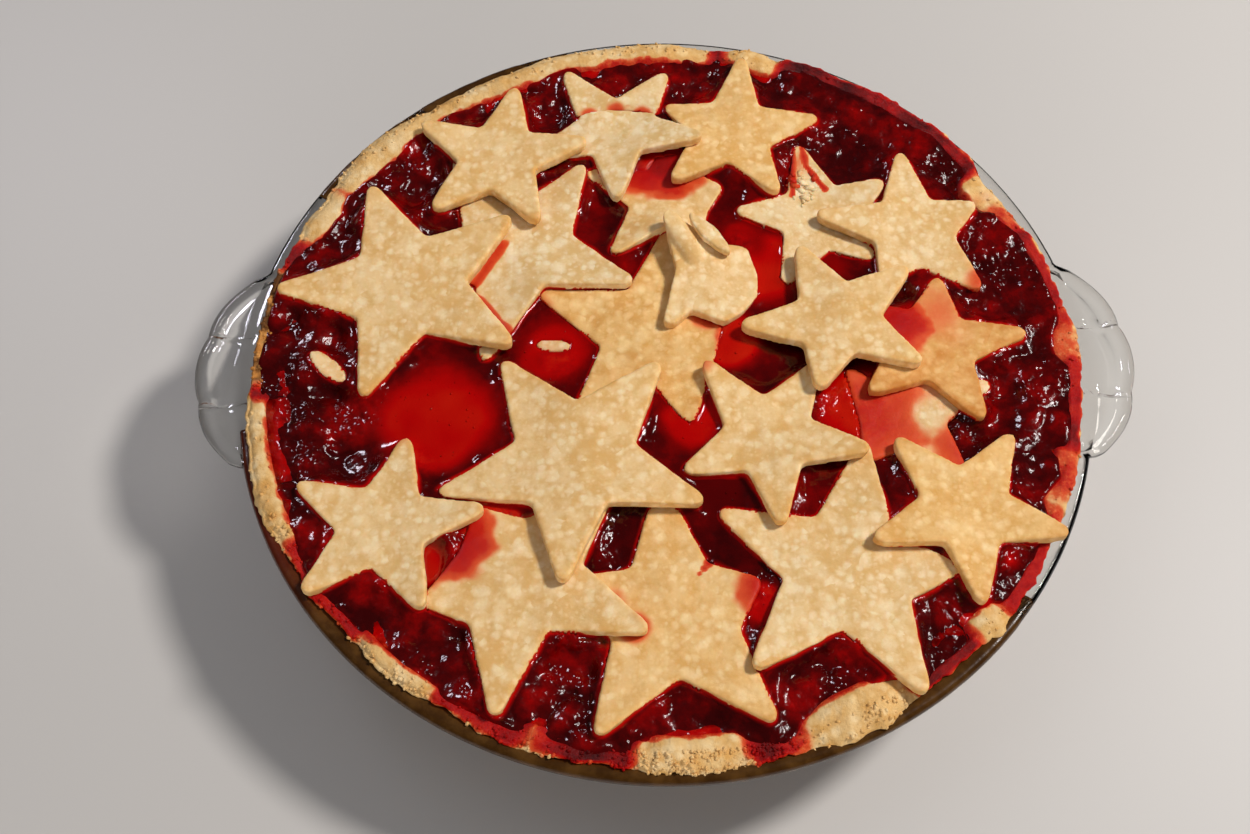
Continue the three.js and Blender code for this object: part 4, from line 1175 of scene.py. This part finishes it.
# %% A tree that scatters grains
def scatter_tree():
    tree, given = tree_with("scatter grains", {
        "Density": "Float", "Where": "String", "Smallest": "Float", "Largest": "Float", "Narrow": "Float",
        "Squash": "Float", "Tilt": "Float", "Roughness": "Float", "Seed": "Int", "Material": "Material"})
    chance = add(tree, "GeometryNodeInputNamedAttribute", {"Name": given["Where"]}, data_type="FLOAT")
    density = sums(tree, "MULTIPLY", chance.outputs[0], given["Density"])
    spots = add(tree, "GeometryNodeDistributePointsOnFaces", {"Mesh": given["Geometry"], "Density": density,
                                                              "Seed": given["Seed"]})
    ball = add(tree, "GeometryNodeMeshIcoSphere", {"Radius": 1.0, "Subdivisions": 1})
    place = add(tree, "GeometryNodeInputPosition").outputs[0]
    wave = add(tree, "ShaderNodeTexNoise", {"Vector": place, "Scale": 1.3, "Detail": 1.0}).outputs["Color"]
    centred = add(tree, "ShaderNodeVectorMath", {0: wave, 1: (0.5, 0.5, 0.5)}, operation="SUBTRACT")
    offset = add(tree, "ShaderNodeVectorMath", {0: centred.outputs[0], "Scale": given["Roughness"]},
                 operation="SCALE")
    grain = add(tree, "GeometryNodeSetPosition", {"Geometry": ball.outputs[0], "Offset": offset.outputs[0]})
    furthest = add(tree, "ShaderNodeCombineXYZ", {0: given["Tilt"], 1: given["Tilt"], 2: 6.28})
    turn = add(tree, "FunctionNodeRandomValue", {1: furthest.outputs[0]}, data_type="FLOAT_VECTOR")
    size = add(tree, "FunctionNodeRandomValue", {2: given["Smallest"], 3: given["Largest"]}, data_type="FLOAT")
    narrow, low = (sums(tree, "MULTIPLY", size.outputs[1], given[share]) for share in ("Narrow", "Squash"))
    scale = add(tree, "ShaderNodeCombineXYZ", {0: size.outputs[1], 1: narrow, 2: low})
    placed = add(tree, "GeometryNodeInstanceOnPoints", {
        "Points": spots.outputs[0], "Instance": grain.outputs[0], "Scale": scale.outputs[0]})
    turned_grains = add(tree, "GeometryNodeRotateInstances", {
        "Instances": placed.outputs[0], "Rotation": turn.outputs[0], "Local Space": True})
    return finish_tree(tree, turned_grains.outputs[0], given["Material"])


def scattered(name, ground, values):
    piece = bpy.data.objects.new(name, ground.data.copy())
    bpy.context.scene.collection.objects.link(piece)
    grow(piece, SCATTER, values)
    return piece


# %% Scatter them
SCATTER = scatter_tree()
TORN_AT = (42.5, 60.5)  # the broken arm of the flaky star
paint(filling, "bubbly", np.concatenate([
    np.where((over_star > 2) & (edge > 1.2), smooth(0.4, 0.9, calm), 0.0),
    np.zeros(len(filling.data.vertices) - len(x))]))
crumbs = scattered("rim_crumbs", crust, {
    "Density": 700000.0, "Where": "crumbly", "Smallest": 0.25 * MM, "Largest": 0.9 * MM, "Narrow": 0.8,
    "Squash": 0.6, "Tilt": 6.28, "Roughness": 0.9, "Seed": 5, "Material": CRUST_PASTRY})
bubbles = scattered("syrup_bubbles", filling, {
    "Density": 30000.0, "Where": "bubbly", "Smallest": 0.16 * MM, "Largest": 0.42 * MM, "Narrow": 1.0,
    "Squash": 1.0, "Tilt": 0.0, "Roughness": 0.0, "Seed": 9, "Material": SYRUP})
flaky = stars["star_small_flaky"]
flaky_x, flaky_y, flaky_z = points_of(flaky).T
torn = 1 - smooth(2.5, 8, np.hypot(flaky_x - TORN_AT[0], flaky_y - TORN_AT[1]))
paint(flaky, "torn", torn * upper_sides["star_small_flaky"])
flakes = scattered("pastry_flakes", flaky, {
    "Density": 260000.0, "Where": "torn", "Smallest": 0.8 * MM, "Largest": 2.2 * MM, "Narrow": 0.55,
    "Squash": 0.32, "Tilt": 0.12, "Roughness": 0.6, "Seed": 3, "Material": STAR_PASTRY})
settle(crumbs, bubbles, flakes)
print("crumb faces", len(crumbs.data.polygons), "bubble faces", len(bubbles.data.polygons))

# %% [markdown]
# ## Light and floor
# The photograph has one window at the right and behind the pie, and a dark room round it:
# deep syrup shows no grey veil. So a large soft light gives the shadows, a small one gives
# the sharp sparkles on wet fruit, and the room's own light is kept out of reflections.


# %% Stage
def stage_floor():
    floor = mesh_object("floor", [(-3000, -3000, 0), (3000, -3000, 0), (3000, 3000, 0), (-3000, 3000, 0)],
                        [(0, 1, 2, 3)], smooth=False)
    material, tree, shader, place = new_material("floor")
    shader.inputs["Base Color"].default_value = (0.58, 0.555, 0.535, 1)
    shader.inputs["Roughness"].default_value = 0.5
    floor.data.materials.append(material)


def area_light(name, at, size, power, colour, diffuse=True, glossy=True):
    lamp = bpy.data.lights.new(name, "AREA")
    lamp.shape, lamp.size, lamp.size_y = "ELLIPSE", size[0] * MM, size[1] * MM
    lamp.energy, lamp.color = power, colour
    light = bpy.data.objects.new(name, lamp)
    light.location = Vector(at) * MM
    aim = Vector((0, 0, 30)) * MM - light.location
    light.rotation_euler = aim.to_track_quat("-Z", "Y").to_euler()
    light.visible_diffuse, light.visible_glossy = diffuse, glossy
    bpy.context.scene.collection.objects.link(light)


def studio():
    world = bpy.data.worlds.new("studio")
    bpy.context.scene.world = world
    world.use_nodes = True
    sky = world.node_tree.nodes["Background"]
    sky.inputs["Color"].default_value = (0.95, 0.96, 1.0, 1)
    ray = add(world.node_tree, "ShaderNodeLightPath").outputs
    unlit = sums(world.node_tree, "MAXIMUM", ray["Is Glossy Ray"], ray["Is Transmission Ray"])
    strength = sums(world.node_tree, "MULTIPLY_ADD", unlit, -0.17, 0.20)
    world.node_tree.links.new(strength, sky.inputs["Strength"])
    area_light("window", (793, 247, 1031), (220, 220), 15.0, (1.0, 0.965, 0.92), glossy=False)
    area_light("front_fill", (-150, -950, 230), (700, 300), 2.8, (1.0, 0.96, 0.91), glossy=False)
    area_light("left_fill", (-500, 200, 900), (700, 700), 0.7, (0.96, 0.97, 1.0), glossy=False)
    area_light("sparkle", (793, 247, 1031), (330, 220), 11.0, (1.0, 0.97, 0.95), diffuse=False)
    area_light("far_sparkle", (-560, 640, 720), (260, 160), 2.6, (0.88, 0.86, 1.0), diffuse=False)
    bpy.context.scene.view_settings.view_transform = "Standard"


stage_floor()
studio()

# %% Put every piece on the pie
for piece, node, slot in ((dish, "glass_dish", "dish_glass"), (crust, "pie_crust", "crust_pastry"),
                          (filling, "strawberry_filling", "strawberry_filling")):
    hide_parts(node)
    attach(piece, "root")
for piece, slot in ((crumbs, "crust_pastry"), (bubbles, "strawberry_filling"), (skin, "strawberry_filling"),
                    (flakes, "star_pastry")):
    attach(piece, "root")
for node, star in stars.items():
    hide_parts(node)
    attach(star, "root")
